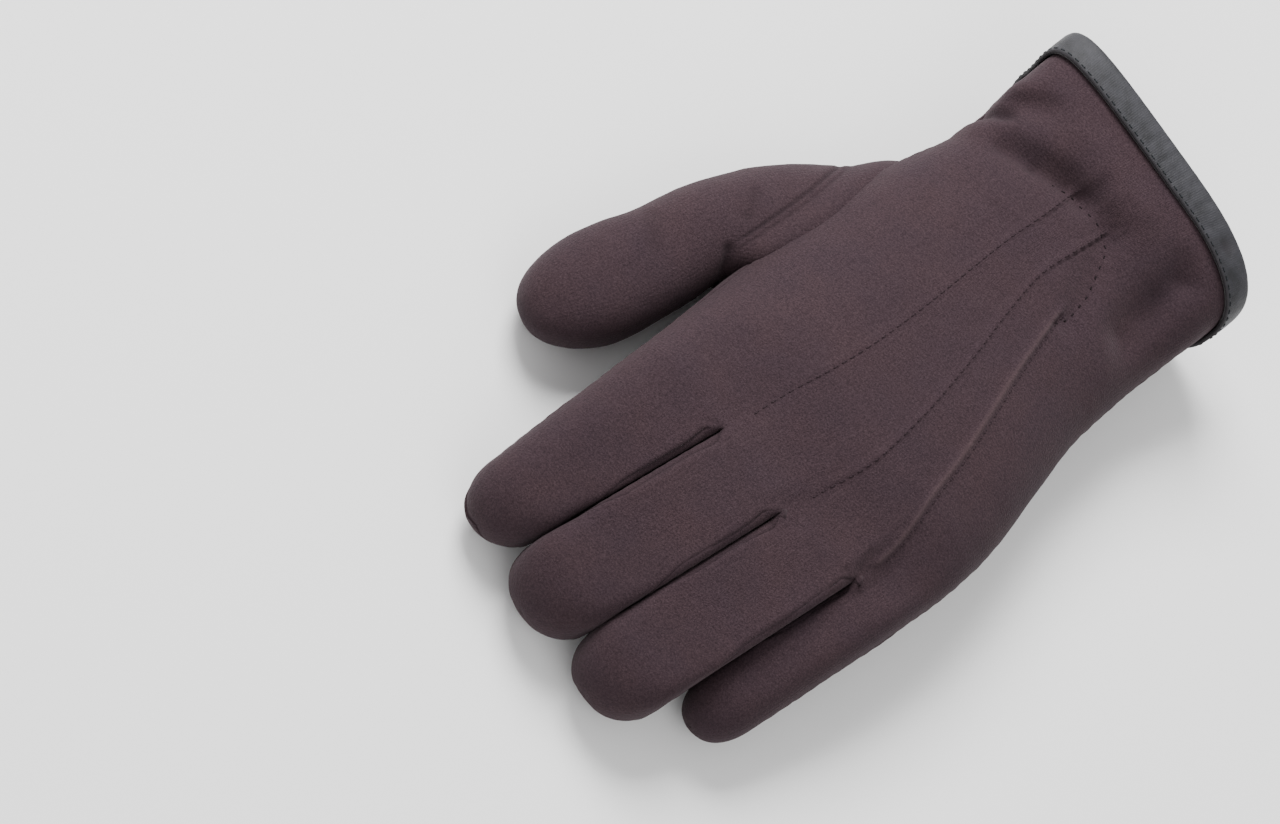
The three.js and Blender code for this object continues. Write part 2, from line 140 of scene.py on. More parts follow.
def crowded(count: int, crowd: float) -> Array:
    """Places from 0 to 1 that crowd towards both ends: x - crowd sin(2 pi x) / (2 pi)."""
    even = np.linspace(0.0, 1.0, count)
    return even - crowd * np.sin(2 * math.pi * even) / (2 * math.pi)


def run_along(path: Array) -> Array:
    """The length from a path's first point to each of its points, shape (n,)."""
    return np.concatenate([[0.0], np.cumsum(np.linalg.norm(np.diff(path, axis=0), axis=1))])


@dataclass(frozen=True)
class Table:
    """A short table of numbers with named columns."""

    columns: str
    rows: tuple[tuple[float, ...], ...]

    def column(self, name: str) -> Array:
        """One whole column."""
        place = self.columns.split().index(name)
        return np.array([row[place] for row in self.rows])

    def records(self) -> list[dict[str, float]]:
        """Each row as a dictionary named by the columns."""
        return [dict(zip(self.columns.split(), row)) for row in self.rows]

    def trace(self, name: str, at: Array) -> Array:
        """A column between its rows, keyed by the first column.

        A cubic runs through each two neighbouring rows p and q with the slopes m and n, which
        are the mean slopes over the rows on both sides: p + t(m + t(3(q-p) - 2m - n + t(2(p-q) + m + n))).

        Args:
            name: The column that is read.
            at: Where, in the first column's measure.

        Returns:
            The column's value at each place.
        """
        keys = self.column(self.columns.split()[0])
        values = self.column(name)
        before = np.maximum(np.arange(len(keys)) - 1, 0)
        after = np.minimum(np.arange(len(keys)) + 1, len(keys) - 1)
        slopes = (values[after] - values[before]) / (keys[after] - keys[before])
        at = np.asarray(at, float)
        i = np.searchsorted(keys[1:-1], at, side="left")
        gap = keys[i + 1] - keys[i]
        t = (at - keys[i]) / gap
        p, q, m, n = values[i], values[i + 1], slopes[i] * gap, slopes[i + 1] * gap
        return p + t * (m + t * (3 * (q - p) - 2 * m - n + t * (2 * (p - q) + m + n)))


# Sections of the hand from the cuff's edge (along 0) to the web line (along 1). radial and ulnar are the
# distances of the thumb's side and the other side from the middle, and point3 to point1 the places of the
# tucks, as shares of the palm's width. top and under are heights as shares of the palm's height. The bends
# are the exponents of the section's superellipse: above on each side, and underneath.
HAND_SECTIONS = Table(
    "along radial ulnar point3 point2 point1 top under radial_bend ulnar_bend under_bend",
    (
        (0.0, 0.476, -0.352, -0.14, 0.0, 0.14, 1.06, -0.02, 4.0, 3.0, 2.4),
        (0.1, 0.47, -0.354, -0.11, 0.015, 0.14, 1.05, -0.02, 3.6, 2.8, 2.4),
        (0.22, 0.458, -0.356, -0.07, 0.028, 0.153, 0.95, -0.02, 2.8, 2.3, 2.3),
        (0.33, 0.487, -0.365, -0.068, 0.036, 0.161, 0.95, -0.05, 2.5, 2.4, 2.3),
        (0.42, 0.505, -0.38, -0.098, 0.01, 0.158, 0.97, -0.08, 2.5, 2.4, 2.4),
        (0.55, 0.51, -0.425, -0.155, -0.04, 0.15, 1.0, -0.09, 2.5, 2.5, 2.5),
        (0.7, 0.51, -0.478, -0.23, -0.085, 0.151, 1.02, -0.08, 2.6, 2.6, 2.6),
        (0.86, 0.502, -0.503, -0.288, -0.105, 0.174, 0.99, 0.04, 2.7, 2.7, 2.7),
        (1.0, 0.495, -0.503, -0.331, -0.071, 0.194, 0.92, 0.22, 2.8, 2.8, 2.8),
    ),
)
# The five lines at the sides of the finger roots: their place as a share of the palm's width, and how far
# the web lies behind the web line there as a share of the finger length
EDGES = Table(
    "number x back",
    (
        (0, -0.503, 0.224),
        (1, -0.331, 0.139),
        (2, -0.071, 0.01),
        (3, 0.194, 0.019),
        (4, 0.495, 0.015),
    ),
)
# The fingers, from the little finger: the sides at the tip as shares of the palm's width, the reach beyond
# the web line as a share of the finger length, and half heights and the root's middle as shares of the
# palm's height
FINGERS = Table(
    "outer inner reach root_half tip_half lift",
    (
        (-0.484, -0.2945, 0.672, 0.274, 0.224, 0.488),
        (-0.2915, -0.026, 0.985, 0.314, 0.243, 0.571),
        (-0.024, 0.2525, 0.996, 0.324, 0.248, 0.595),
        (0.2545, 0.482, 0.933, 0.319, 0.243, 0.583),
    ),
)
# The large creases that the solids have too, as shares of the palm's width, length and height
CREASES = Table(
    "x1 y1 x2 y2 wide deep",
    (
        (0.351, 0.219, 0.14, 0.172, 0.052, 0.085),
        (-0.19, 0.106, -0.223, 0.25, 0.053, 0.081),
        (0.47, 0.18, 0.39, 0.135, 0.045, 0.06),
        (0.12, 0.17, 0.01, 0.18, 0.044, 0.033),
        (0.01, 0.18, -0.115, 0.335, 0.044, 0.033),
        (0.019, 0.11, 0.252, 0.12, 0.065, -0.03),
    ),
)
# Sections of the thumb from the ball to the tip. x is a share of the palm's width and y of its length from
# the cuff, high is the middle's height and thick the half thickness as shares of the palm's height, and
# wide is the half width as a share of the thumb's width.
THUMB_SECTIONS = Table(
    "number x y high wide thick",
    (
        (0, 0.379, 0.294, 0.262, 0.242, 0.238),
        (1, 0.417, 0.412, 0.286, 0.364, 0.31),
        (2, 0.485, 0.544, 0.31, 0.53, 0.357),
        (3, 0.573, 0.65, 0.333, 0.515, 0.357),
        (4, 0.639, 0.731, 0.333, 0.424, 0.345),
        (5, 0.659, 0.831, 0.321, 0.452, 0.321),
        (6, 0.69, 0.944, 0.298, 0.49, 0.298),
        (7, 0.742, 1.087, 0.262, 0.42, 0.262),
    ),
)
THUMB_LAST = len(THUMB_SECTIONS.rows) - 1.0
# The three tucks on the back: the tuck's line between two fingers, its run as shares of the palm's
# length, the height of its ridge and the depth of the stitched groove beside it, in millimetres
TUCKS = Table(
    "line start end ridge groove",
    (
        (1, 0.33, 0.97, 0.75, 0.12),
        (2, 0.15, 0.95, 0.34, 0.1),
        (3, 0.14, 0.955, 0.18, 0.09),
    ),
)
# Finer folds pressed into the back, in millimetres: from one point to another, half width and depth
BACK_FOLDS = Table(
    "x1 y1 x2 y2 wide deep",
    (
        (38.0, -76.5, 28.0, -79.5, 1.8, 0.6),
        (28.0, -79.5, 19.0, -83.0, 1.6, 0.7),
        (36.0, -83.5, 16.0, -90.5, 3.2, -0.9),
        (16.0, -88.0, 9.0, -90.0, 3.0, -0.8),
        (26.6, -62.0, 21.2, -60.5, 1.2, 0.3),
        (47.0, -92.0, 40.0, -96.0, 3.0, -0.5),
        (-22.7, -82.0, -20.5, -87.0, 2.0, 0.4),
        (-20.5, -87.0, -20.1, -94.0, 2.2, 0.5),
        (-20.1, -94.0, -24.5, -97.0, 2.0, 0.4),
        (-24.0, -84.0, -28.0, -68.0, 3.0, 0.4),
        (21.6, 46.5, 23.6, 47.5, 1.1, 0.5),
        (-32.5, 36.0, -30.5, 31.0, 1.3, 0.3),
    ),
)
# Folds at the side of the wrist towards the thumb, which show in the glove's outline
SIDE_FOLDS = Table(
    "x1 y1 x2 y2 wide deep",
    (
        (54.0, -79.5, 44.0, -84.0, 1.9, 1.7),
        (54.0, -73.5, 46.0, -76.5, 3.2, -0.9),
        (56.0, -88.0, 47.0, -91.5, 3.2, -0.9),
    ),
)
# Folds of the palm where it bends, measured the same way
PALM_FOLDS = Table(
    "x1 y1 x2 y2 wide deep",
    (
        (-42.0, 22.0, -12.0, 36.0, 2.4, 0.9),
        (-8.0, 38.0, 20.0, 38.0, 2.0, 0.8),
        (18.0, 35.0, 46.0, 30.0, 2.4, 0.9),
        (-30.0, 4.0, 12.0, 18.0, 2.8, 0.7),
        (8.0, 10.0, 32.0, 26.0, 2.2, 0.6),
        (14.0, -10.0, 24.0, 12.0, 2.4, 0.5),
        (-34.0, 60.0, -46.0, 60.0, 1.6, 0.6),
        (-26.0, 76.0, -6.0, 77.0, 1.7, 0.6),
        (1.0, 77.0, 22.0, 77.0, 1.7, 0.6),
        (29.0, 74.0, 47.0, 73.0, 1.7, 0.6),
        (-24.0, 55.0, -8.0, 57.0, 1.5, 0.5),
        (3.0, 56.0, 18.0, 55.0, 1.5, 0.5),
        (-16.0, -82.0, 14.0, -84.0, 2.2, 0.6),
    ),
)
# Folds of the thumb at its root, measured the same way
THUMB_FOLDS = Table(
    "x1 y1 x2 y2 wide deep",
    (
        (53.0, 10.0, 58.5, 6.3, 1.5, 0.9),
        (62.0, -3.0, 66.5, -10.0, 1.8, 0.5),
        (71.0, 24.0, 78.0, 18.0, 2.6, 0.4),
    ),
)
# The shirred line across the wrist, in millimetres from the side of the thumb to the little finger's
GATHER_LINE = (
    *((22.0, -80.5), (15.0, -83.5), (5.0, -84.0), (-2.0, -82.0)),
    *((-9.0, -69.0), (-11.0, -60.0), (-9.0, -52.0)),
)
# The lamps: their places in metres, how wide they are and their power
LAMPS = Table(
    "x y z size watts",
    (
        (1.0, -0.55, 1.15, 0.8, 58.0),
        (-0.9, 0.6, 1.2, 1.2, 10.0),
    ),
)


@dataclass(frozen=True)
class GloveForm:
    """The glove's main form: every surface of it as a function of two parameters.

    across counts the fingers from 0, the little finger's outer side, to 4, and along runs from
    0 to 1 over the hand, from cuff to webs, or over a finger, from root to tip. inset is how deep
    a point lies in the cloth.

    Attributes:
        cloth: Thickness of the cloth.
        seam_lap: How far the edges lap where two pieces are sewn.
        slit_gap: Clear space between two fingers.
        cuff_slant, cuff_lean, cuff_flare: How much shorter the cuff is underneath, how much
            farther it reaches at the thumb's side, and how far its upper corner there leans out.
        strip_half: Half the height of a finger's strip, as a share of the finger's half height.
        strip_narrows, strip_ends: Where along the finger the strip starts to narrow and has ended.
        seam_drop: How far the seams round a fingertip lie below its middle, as the same share.
        root_bend, tip_bend: Exponents of a finger's free side.
        web_bend, pressed_bend: Exponents of a side that another finger presses, at and beyond the web.
        cap_start, cap_bend: Where the fingertip's cap starts, and its exponent.
        roots_start: Where along the hand its oval starts to turn into the finger roots.
        slit_opens: The stretch of a finger over which its slit opens.
        drawn_width, drawn_bend: How wide the edges' pull is, and its exponent.
        thumb_bend, thumb_cap_run: Exponent of the thumb's section, and the stretch of each end cap.
    """

    cloth: float = 2.2
    seam_lap: float = 0.16
    slit_gap: float = 0.1
    palm_width: float = 103.0
    palm_length: float = 160.0
    palm_height: float = 42.0
    finger_length: float = 67.0
    thumb_width: float = 33.0
    cuff_y: float = -113.0
    cuff_slant: float = 13.0
    cuff_lean: float = 3.5
    cuff_flare: float = 8.0
    strip_half: float = 0.965
    seam_drop: float = 0.62
    strip_narrows: float = 0.55
    strip_ends: float = 0.88
    tape_width: float = 8.0
    tape_thickness: float = 1.2
    tape_clearance: float = 0.35
    root_bend: float = 2.8
    tip_bend: float = 2.1
    web_bend: float = 7.0
    pressed_bend: float = 10.0
    cap_start: float = 0.79
    cap_bend: float = 2.2
    roots_start: float = 0.78
    slit_opens: float = 0.07
    drawn_width: float = 0.1
    drawn_bend: float = 1.4
    thumb_bend: float = 2.3
    thumb_cap_run: float = 0.16

    @property
    def web_y(self) -> float:
        """Where the web line lies."""
        return self.cuff_y + self.palm_length

    def web_back(self, across: Array) -> Array:
        """How far the web lies behind the web line."""
        return self.finger_length * EDGES.trace("back", across)

    def side_seam(self, along: Array) -> Array:
        """Height of the seam between back and palm, as a share of the hand's half height."""
        return mix(0.1, 0.26, smooth(0.2, 0.5, along)) - 0.11 * smooth(0.8, 1.0, along)

    def crease_depth(self, x: Array, y: Array) -> Array:
        """How deep the large creases press the back in: a bell round each one's line.

        Args:
            x: The points' x.
            y: Their y.

        Returns:
            The depth at each point.
        """
        width, length = self.palm_width, self.palm_length
        depth = np.zeros(np.broadcast(x, y).shape)
        for crease in CREASES.records():
            start = (width * crease["x1"], self.cuff_y + length * crease["y1"])
            end = (width * crease["x2"], self.cuff_y + length * crease["y2"])
            away, _ = line_distance(x, y, start, end)
            depth += self.palm_height * crease["deep"] * bell(away, width * crease["wide"])
        return depth

    def hand_bend(self, angle: Array, along: Array) -> Array:
        """Exponent of the hand's section: one underneath and one on each side above.

        Args:
            angle: The polar angle in the section.
            along: The place along the hand, from cuff to webs.

        Returns:
            The exponent.
        """
        above = np.where(
            np.cos(angle) > 0,
            HAND_SECTIONS.trace("radial_bend", along),
            HAND_SECTIONS.trace("ulnar_bend", along),
        )
        return np.where(np.sin(angle) < 0, HAND_SECTIONS.trace("under_bend", along), above)

    def hand_box(self, along: Array) -> tuple[Array, Array, Array, Array]:
        """The hand's section: its middle and half size from side to side, then from palm to back.

        Args:
            along: The place along the hand, from cuff to webs.

        Returns:
            Middle and half width across, then middle and half of the height.
        """
        radial = HAND_SECTIONS.trace("radial", along) * self.palm_width
        ulnar = HAND_SECTIONS.trace("ulnar", along) * self.palm_width
        top = HAND_SECTIONS.trace("top", along) * self.palm_height
        under = HAND_SECTIONS.trace("under", along) * self.palm_height
        return (radial + ulnar) / 2, (radial - ulnar) / 2, (top + under) / 2, (top - under) / 2

    def cuff_edge(self, facing: Array, lean: Array) -> Array:
        """Where the cuff's slanted edge lies, for facing from -1 underneath to 1 on top, less the lean."""
        return self.cuff_y + self.cuff_slant * (0.5 - 0.5 * facing) - lean

    def oval_point(self, angle: Array, across: Array, along: Array, inset: float) -> Array:
        """A point of the hand's oval, a superellipse from side to side and from palm to back.

        y runs straight from the slanted cuff edge to the web.

        Args:
            angle: Round the section, from the thumb's side over the back.
            across: Which finger the point leads to.
            along: From cuff to web.
            inset: Depth in the cloth.

        Returns:
            Points, with x, y and z in the last axis.
        """
        middle_x, half_x, middle_z, half_z = self.hand_box(along)
        bend = self.hand_bend(angle, along)
        side, rise = section_point(angle, bend)
        flare = self.cuff_flare * np.maximum(side, 0.0) * np.maximum(rise, 0.0) ** 2
        flare = flare * (1 - smooth(0.08, 0.3, along))
        x = middle_x + (half_x - inset) * side + flare
        z = middle_z + (half_z - inset) * rise
        facing = power(rise, bend / 2)
        lean = self.cuff_lean * np.maximum(side, 0.0) ** bend
        y = mix(self.cuff_edge(facing, lean), self.web_y - self.web_back(across), along)
        shown = smooth(0.1, 0.7, facing) * smooth(0.05, 0.12, along)
        return stacked(x, y, z - self.crease_depth(x, y) * shown)

    def finger_half(self, finger: int, along: Array) -> Array:
        """Half the finger's height."""
        part = FINGERS.records()[finger]
        return self.palm_height * mix(part["root_half"], part["tip_half"], along)

    def finger_bend(self, finger: int, inner: Array, along: Array) -> Array:
        """Exponent of a finger's section, higher on a side that is pressed against another finger.

        Args:
            finger: 0 for the little finger to 3 for the index finger.
            inner: Whether it is the side towards the thumb.
            along: From root to tip.

        Returns:
            The exponent.
        """
        pressed = np.where(inner, finger < 3, finger > 0)
        free = mix(self.root_bend, self.tip_bend, along)
        held = mix(self.web_bend, self.pressed_bend, smooth(0.0, 0.2, along))
        return np.where(pressed, mix(held, free, smooth(0.55, 1.0, along)), free)

    def finger_point(self, finger: int, angle: Array, across: Array, along: Array, inset: float) -> Array:
        """A point of a finger: a superellipse section carried from its root and closed by a round cap.

        The cap shrinks the section by (1 - b^e)^(1/e), where b runs from 0 to 1 over the last
        stretch and e is cap_bend, and the section's middle sinks from the root's height to lie on
        the surface.

        Args:
            finger: 0 for the little finger to 3 for the index finger.
            angle: Round the section, as on the hand.
            across: Which finger the point belongs to, for the line of its root.
            along: From root to tip.
            inset: Depth in the cloth.

        Returns:
            Points, with x, y and z in the last axis.
        """
        part = FINGERS.records()[finger]
        edge_x, edge_back = EDGES.column("x"), EDGES.column("back")
        left = self.palm_width * mix(edge_x[finger], part["outer"], along)
        right = self.palm_width * mix(edge_x[finger + 1], part["inner"], along)
        left = left + (self.slit_gap / 2 if finger > 0 else 0.0)
        right = right - (self.slit_gap / 2 if finger < 3 else 0.0)
        beyond = np.clip((along - self.cap_start) / (1 - self.cap_start), 0.0, 1.0)
        cap = np.maximum(0.0, 1 - beyond**self.cap_bend) ** (1 / self.cap_bend)
        wide = ((right - left) / 2 - inset) * cap
        thick = (self.finger_half(finger, along) - inset) * cap
        side, rise = section_point(angle, self.finger_bend(finger, np.cos(angle) > 0, along))
        settled = 0.35 * along + 0.65 * along * along
        centre = self.palm_height * mix(part["lift"], part["tip_half"], settled)
        middle_back = self.finger_length * (edge_back[finger] + edge_back[finger + 1]) / 2
        root = self.web_y - mix(self.web_back(across), middle_back, smooth(0.0, 0.5, along))
        x = (left + right) / 2 + wide * side
        y = root + (part["reach"] * self.finger_length + middle_back - inset) * along
        return stacked(x, y, centre + thick * rise)

    def strip_share(self, along: Array) -> Array:
        """Half the height of the strip between two fingers, as a share of the finger's half height."""
        return self.strip_half * (1 - smooth(self.strip_narrows, self.strip_ends, along))

    def tip_drop(self, along: Array) -> Array:
        """How far the seams round a fingertip lie below its middle, as a share of its half height."""
        return self.seam_drop * smooth(0.45, 0.9, along)

    @staticmethod
    def strip_edge(share: Array, drop: Array, side: Side) -> Array:
        """How far a strip's edge lies above or below a finger's middle, as a share of its half height.

        The drop lowers both edges: share - drop above, and 1 - (1 - share)(1 - drop) underneath,
        which never passes the finger's lowest line.

        Args:
            share: The same without the drop.
            drop: How far the seams lie below the middle.
            side: Back for the upper edge, palm for the lower one.

        Returns:
            The share, measured up for the upper edge and down for the lower one.
        """
        return share - drop if side is Side.BACK else 1 - (1 - share) * (1 - drop)

    def finger_angle(self, finger: int, column: Array, along: Array, side: Side) -> Array:
        """The angle of a panel's column on a finger, between the seams at the finger's two sides.

        Args:
            finger: 0 for the little finger to 3 for the index finger.
            column: The place across the finger's share of the panel, from 0 to 1.
            along: The place along the finger, from root to tip.
            side: Back or palm.

        Returns:
            The polar angle in the finger's section.
        """
        drop = self.tip_drop(along)
        strip = self.strip_edge(self.strip_share(along), drop, side)
        outer = side.value * (self.side_seam(1.0) * (1 - drop) - drop)
        first = angle_at_height(outer if finger == 0 else strip, self.finger_bend(finger, False, along))
        last = angle_at_height(outer if finger == 3 else strip, self.finger_bend(finger, True, along))
        return side.value * mix(math.pi - first, last, column)

    def oval_angle(self, finger: int, column: Array, along: Array, side: Side) -> Array:
        """The angle of a panel's column on the hand, between two of the tucks' lines or a side seam.

        Args:
            finger: 0 for the little finger to 3 for the index finger.
            column: The place across the finger's share of the panel, from 0 to 1.
            along: The place along the hand, from cuff to webs.
            side: Back or palm.

        Returns:
            The polar angle in the hand's section.
        """
        radial, ulnar = HAND_SECTIONS.trace("radial", along), HAND_SECTIONS.trace("ulnar", along)
        borders = [np.full(np.shape(along), math.pi)]
        for name in ("point3", "point2", "point1"):
            share = (2 * HAND_SECTIONS.trace(name, along) - radial - ulnar) / (radial - ulnar)
            bend = self.hand_bend(side.value * np.where(share > 0, 1.0, 2.0), along)
            borders.append(math.pi / 2 - angle_at_height(share, bend))
        seam = angle_at_height(self.side_seam(along), HAND_SECTIONS.trace("radial_bend", along))
        borders.append(side.value * seam)
        return side.value * mix(borders[finger], borders[finger + 1], column)

    def rest_height(self, along: Array, inset: float) -> Array:
        """The lowest that a point may lie: on the surface, or on the tape that is under the cuff."""
        return (self.tape_thickness + self.tape_clearance) * (1 - smooth(0.06, 0.14, along)) + inset

    def settle(self, points: Array, along: Array, side: Side, inset: float) -> Array:
        """Laps the two panels a little where they are sewn, and lays the points on the surface."""
        height = points[..., 2] - side.value * self.seam_lap / 2
        return stacked(points[..., 0], points[..., 1], np.maximum(height, self.rest_height(along, inset)))

    def hand_point(self, finger: int, column: Array, along: Array, side: Side, inset: float) -> Array:
        """A point of a panel on the hand, where the oval turns into four finger roots side by side.

        Args:
            finger: 0 for the little finger to 3 for the index finger.
            column: The place across the finger's share of the panel, from 0 to 1.
            along: The place along the hand, from cuff to webs.
            side: Back or palm.
            inset: How deep the point lies in the cloth.

        Returns:
            The points.
        """
        oval = self.oval_point(self.oval_angle(finger, column, along, side), finger + column, along, inset)
        angle = self.finger_angle(finger, column, 0.0 * along, side)
        root = self.finger_point(finger, angle, finger + column, 0.0 * along, inset)
        turn = smooth(self.roots_start, 1.0, along)
        x = mix(oval[..., 0], root[..., 0], turn)
        return stacked(x, oval[..., 1], mix(oval[..., 2], root[..., 2], turn))

    def draw_together(self, place: Place, finger: int, column: Array, amount: Array) -> Array:
        """Points of a panel with two fingers' edges drawn to their shared line.

        Args:
            place: Gives a finger's points at columns.
            finger: The finger whose points are wanted.
            column: Their columns.
            amount: How far the edges are drawn, from 0 to 1. The pull fades over drawn_width of
                the panel's width.

        Returns:
            The points.
        """
        points = place(finger, column)
        for edge, other in ((0.0, finger - 1), (1.0, finger + 1)):
            if 0 <= other <= 3:
                gap = place(other, np.array([[1 - edge]])) - place(finger, np.array([[edge]]))
                near = np.maximum(0.0, 1 - np.abs(column - edge) / self.drawn_width)
                weight = amount * near**self.drawn_bend
                points = points + gap / 2 * weight[..., None]
        return points

    def closed_point(self, finger: int, column: Array, along: Array, side: Side, inset: float) -> Array:
        """A point of a panel on the hand, with the cloth closed behind the webs.

        Args:
            finger: 0 for the little finger to 3 for the index finger.
            column: The place across the finger's share of the panel, from 0 to 1.
            along: The place along the hand, from cuff to webs.
            side: Back or palm.
            inset: How deep the point lies in the cloth.

        Returns:
            The points.
        """

        def place(number: int, at: Array) -> Array:
            """A point of the panel on a finger's column."""
            return self.hand_point(number, at, along, side, inset)

        return self.settle(self.draw_together(place, finger, column, 1.0), along, side, inset)

    def open_point(self, finger: int, column: Array, along: Array, side: Side, inset: float) -> Array:
        """A point of a panel on a finger beyond the web, where the slit opens from a narrow end.

        Args:
            finger: 0 for the little finger to 3 for the index finger.
            column: The place across the finger's share of the panel, from 0 to 1.
            along: The place along the finger, from root to tip.
            side: Back or palm.
            inset: How deep the point lies in the cloth.

        Returns:
            The points.
        """

        def place(number: int, at: Array) -> Array:
            """A point of the panel on a finger's column."""
            angle = self.finger_angle(number, at, along, side)
            return self.finger_point(number, angle, number + at, along, inset)

        points = self.draw_together(place, finger, column, 1 - smooth(0.0, self.slit_opens, along))
        return self.settle(points, np.ones(np.shape(along)), side, inset)

    def hand_depth(self, points: Array) -> Array:
        """How far points lie outside the hand's oval in millimetres, negative inside.

        The place along the hand is found in three rounds, because the cuff's slanted edge depends on it.

        Args:
            points: The points, shape (n, 3).

        Returns:
            The depth at each point.
        """
        along = (points[:, 1] - self.cuff_y) / self.palm_length
        for _ in range(3):
            at = np.clip(along, 0.0, 1.0)
            middle_x, half_x, middle_z, half_z = self.hand_box(at)
            side = (points[:, 0] - middle_x) / half_x
            rise = (points[:, 2] - middle_z) / half_z
            angle = np.arctan2(rise, side)
            lean = self.cuff_lean * np.maximum(np.cos(angle), 0.0) ** 2
            edge = self.cuff_edge(np.sin(angle), lean)
            web = self.web_y - EDGES.column("back")[-1] * self.finger_length
            along = (points[:, 1] - edge) / (web - edge)
        depth = section_depth(side, rise, np.hypot(side * half_x, rise * half_z), self.hand_bend(angle, at))
        return depth + 60.0 * np.maximum(along - 1.0, 0.0)

    def thumb_axis(self, place: Array) -> tuple[Array, Array, Array, Array, Array]:
        """The thumb's middle line in plan, its height, and half its width and thickness.

        Args:
            place: The place among the thumb's sections, by their number.

        Returns:
            x, y, the middle's height, half width and half thickness.
        """
        x = self.palm_width * THUMB_SECTIONS.trace("x", place)
        y = self.cuff_y + self.palm_length * THUMB_SECTIONS.trace("y", place)
        high = self.palm_height * THUMB_SECTIONS.trace("high", place)
        wide = self.thumb_width * THUMB_SECTIONS.trace("wide", place)
        thick = self.palm_height * THUMB_SECTIONS.trace("thick", place)
        return x, y, high, wide, thick

    def thumb_heading(self, place: Array) -> tuple[Array, Array]:
        """The unit direction of the thumb's middle line in plan.

        Args:
            place: The place among the thumb's sections, by their number.

        Returns:
            Its x and y.
        """
        ahead = self.thumb_axis(np.minimum(place + 0.05, THUMB_LAST))
        behind = self.thumb_axis(np.maximum(place - 0.05, 0.0))
        step_x, step_y = ahead[0] - behind[0], ahead[1] - behind[1]
        length = np.hypot(step_x, step_y)
        return step_x / length, step_y / length

    def thumb_cap(self, along: Array) -> Array:
        """How much the thumb's section shrinks: to nothing at the tip and at the ball's end.

        Args:
            along: The place along the thumb, from ball to tip.

        Returns:
            The share that is left.
        """
        run = self.thumb_cap_run
        tip = np.clip((along - (1 - run)) / run, 0.0, 1.0)
        ball = np.clip((run - along) / run, 0.0, 1.0)
        return np.sqrt(np.maximum(0.0, 1 - tip**3)) * np.sqrt(np.maximum(0.0, 1 - ball**2))

    def thumb_point(self, angle: Array, along: Array) -> Array:
        """A point of the thumb: a superellipse section square to a curved middle line.

        Args:
            angle: The polar angle in the section.
            along: The place along the thumb, from ball to tip.

        Returns:
            The points.
        """
        place = along * THUMB_LAST
        x, y, high, wide, thick = self.thumb_axis(place)
        heading_x, heading_y = self.thumb_heading(place)
        cap = self.thumb_cap(along)
        side, rise = section_point(angle, self.thumb_bend)
        aside = wide * cap * side
        laid = np.maximum(high + thick * cap * rise, 0.0)
        return stacked(x + aside * heading_y, y - aside * heading_x, laid)

    def thumb_depth(self, points: Array) -> Array:
        """How far points lie outside the thumb in millimetres, negative inside, by its nearest section.

        Args:
            points: The points, shape (n, 3).

        Returns:
            The depth at each point.
        """
        along = np.linspace(0.004, 0.996, 160)
        x, y, high, wide, thick = self.thumb_axis(along * THUMB_LAST)
        heading_x, heading_y = self.thumb_heading(along * THUMB_LAST)
        cap = self.thumb_cap(along)
        apart = (points[:, :1] - x) ** 2 + (points[:, 1:2] - y) ** 2
        near = np.argmin(apart, axis=1)
        away_x, away_y = points[:, 0] - x[near], points[:, 1] - y[near]
        side = away_x * heading_y[near] - away_y * heading_x[near]
        past = away_x * heading_x[near] + away_y * heading_y[near]
        rise = points[:, 2] - high[near]
        side_share, rise_share = side / (wide * cap)[near], rise / (thick * cap)[near]
        depth = section_depth(side_share, rise_share, np.hypot(side, rise), self.thumb_bend)
        return depth + np.maximum(np.abs(past) - 1.0, 0.0)


def section_point(angle: Array, bend: Array) -> tuple[Array, Array]:
    """A superellipse section's point at a polar angle, as shares of its half width and half height.

    The point at the angle a lies (|cos a|^bend + |sin a|^bend)^(-1/bend) from the middle.

    Args:
        angle: The polar angle.
        bend: The section's exponent.

    Returns:
        The shares, across and up.
    """
    side, rise = np.cos(angle), np.sin(angle)
    reach = (np.abs(side) ** bend + np.abs(rise) ** bend) ** (-1 / bend)
    return side * reach, rise * reach


def angle_at_height(share: Array, bend: Array) -> Array:
    """The polar angle at which a superellipse section reaches a share of its half height."""
    share = np.clip(share, -1, 1)
    return np.arctan2(share, (1 - np.abs(share) ** bend) ** (1 / bend))


def section_depth(side: Array, rise: Array, reach: Array, bend: Array) -> Array:
    """How far places lie outside a superellipse section, negative inside.

    A place's ratio r is (|side|^bend + |rise|^bend)^(1/bend), and its depth (1 - 1/r) reach.

    Args:
        side: The place from the section's middle, in half widths.
        rise: The same in half heights.
        reach: The distance from the middle.
        bend: The section's exponent.

    Returns:
        The depth, in the measure of reach.
    """
    ratio = (np.abs(side) ** bend + np.abs(rise) ** bend) ** (1 / bend)
    return reach * (1 - 1 / np.maximum(ratio, 1e-3))


def line_distance(x: Array, y: Array, start: tuple, end: tuple) -> tuple[Array, Array]:
    """Distance in plan from points to a straight stretch, and the share of it passed at the nearest place.

    Args:
        x: The points' x.
        y: Their y.
        start: Where the stretch starts.
        end: Where it ends.

    Returns:
        The distance, and the share of the stretch.
    """
    dx, dy = end[0] - start[0], end[1] - start[1]
    share = np.clip(((x - start[0]) * dx + (y - start[1]) * dy) / (dx * dx + dy * dy), 0.0, 1.0)
    return np.hypot(x - start[0] - share * dx, y - start[1] - share * dy), share


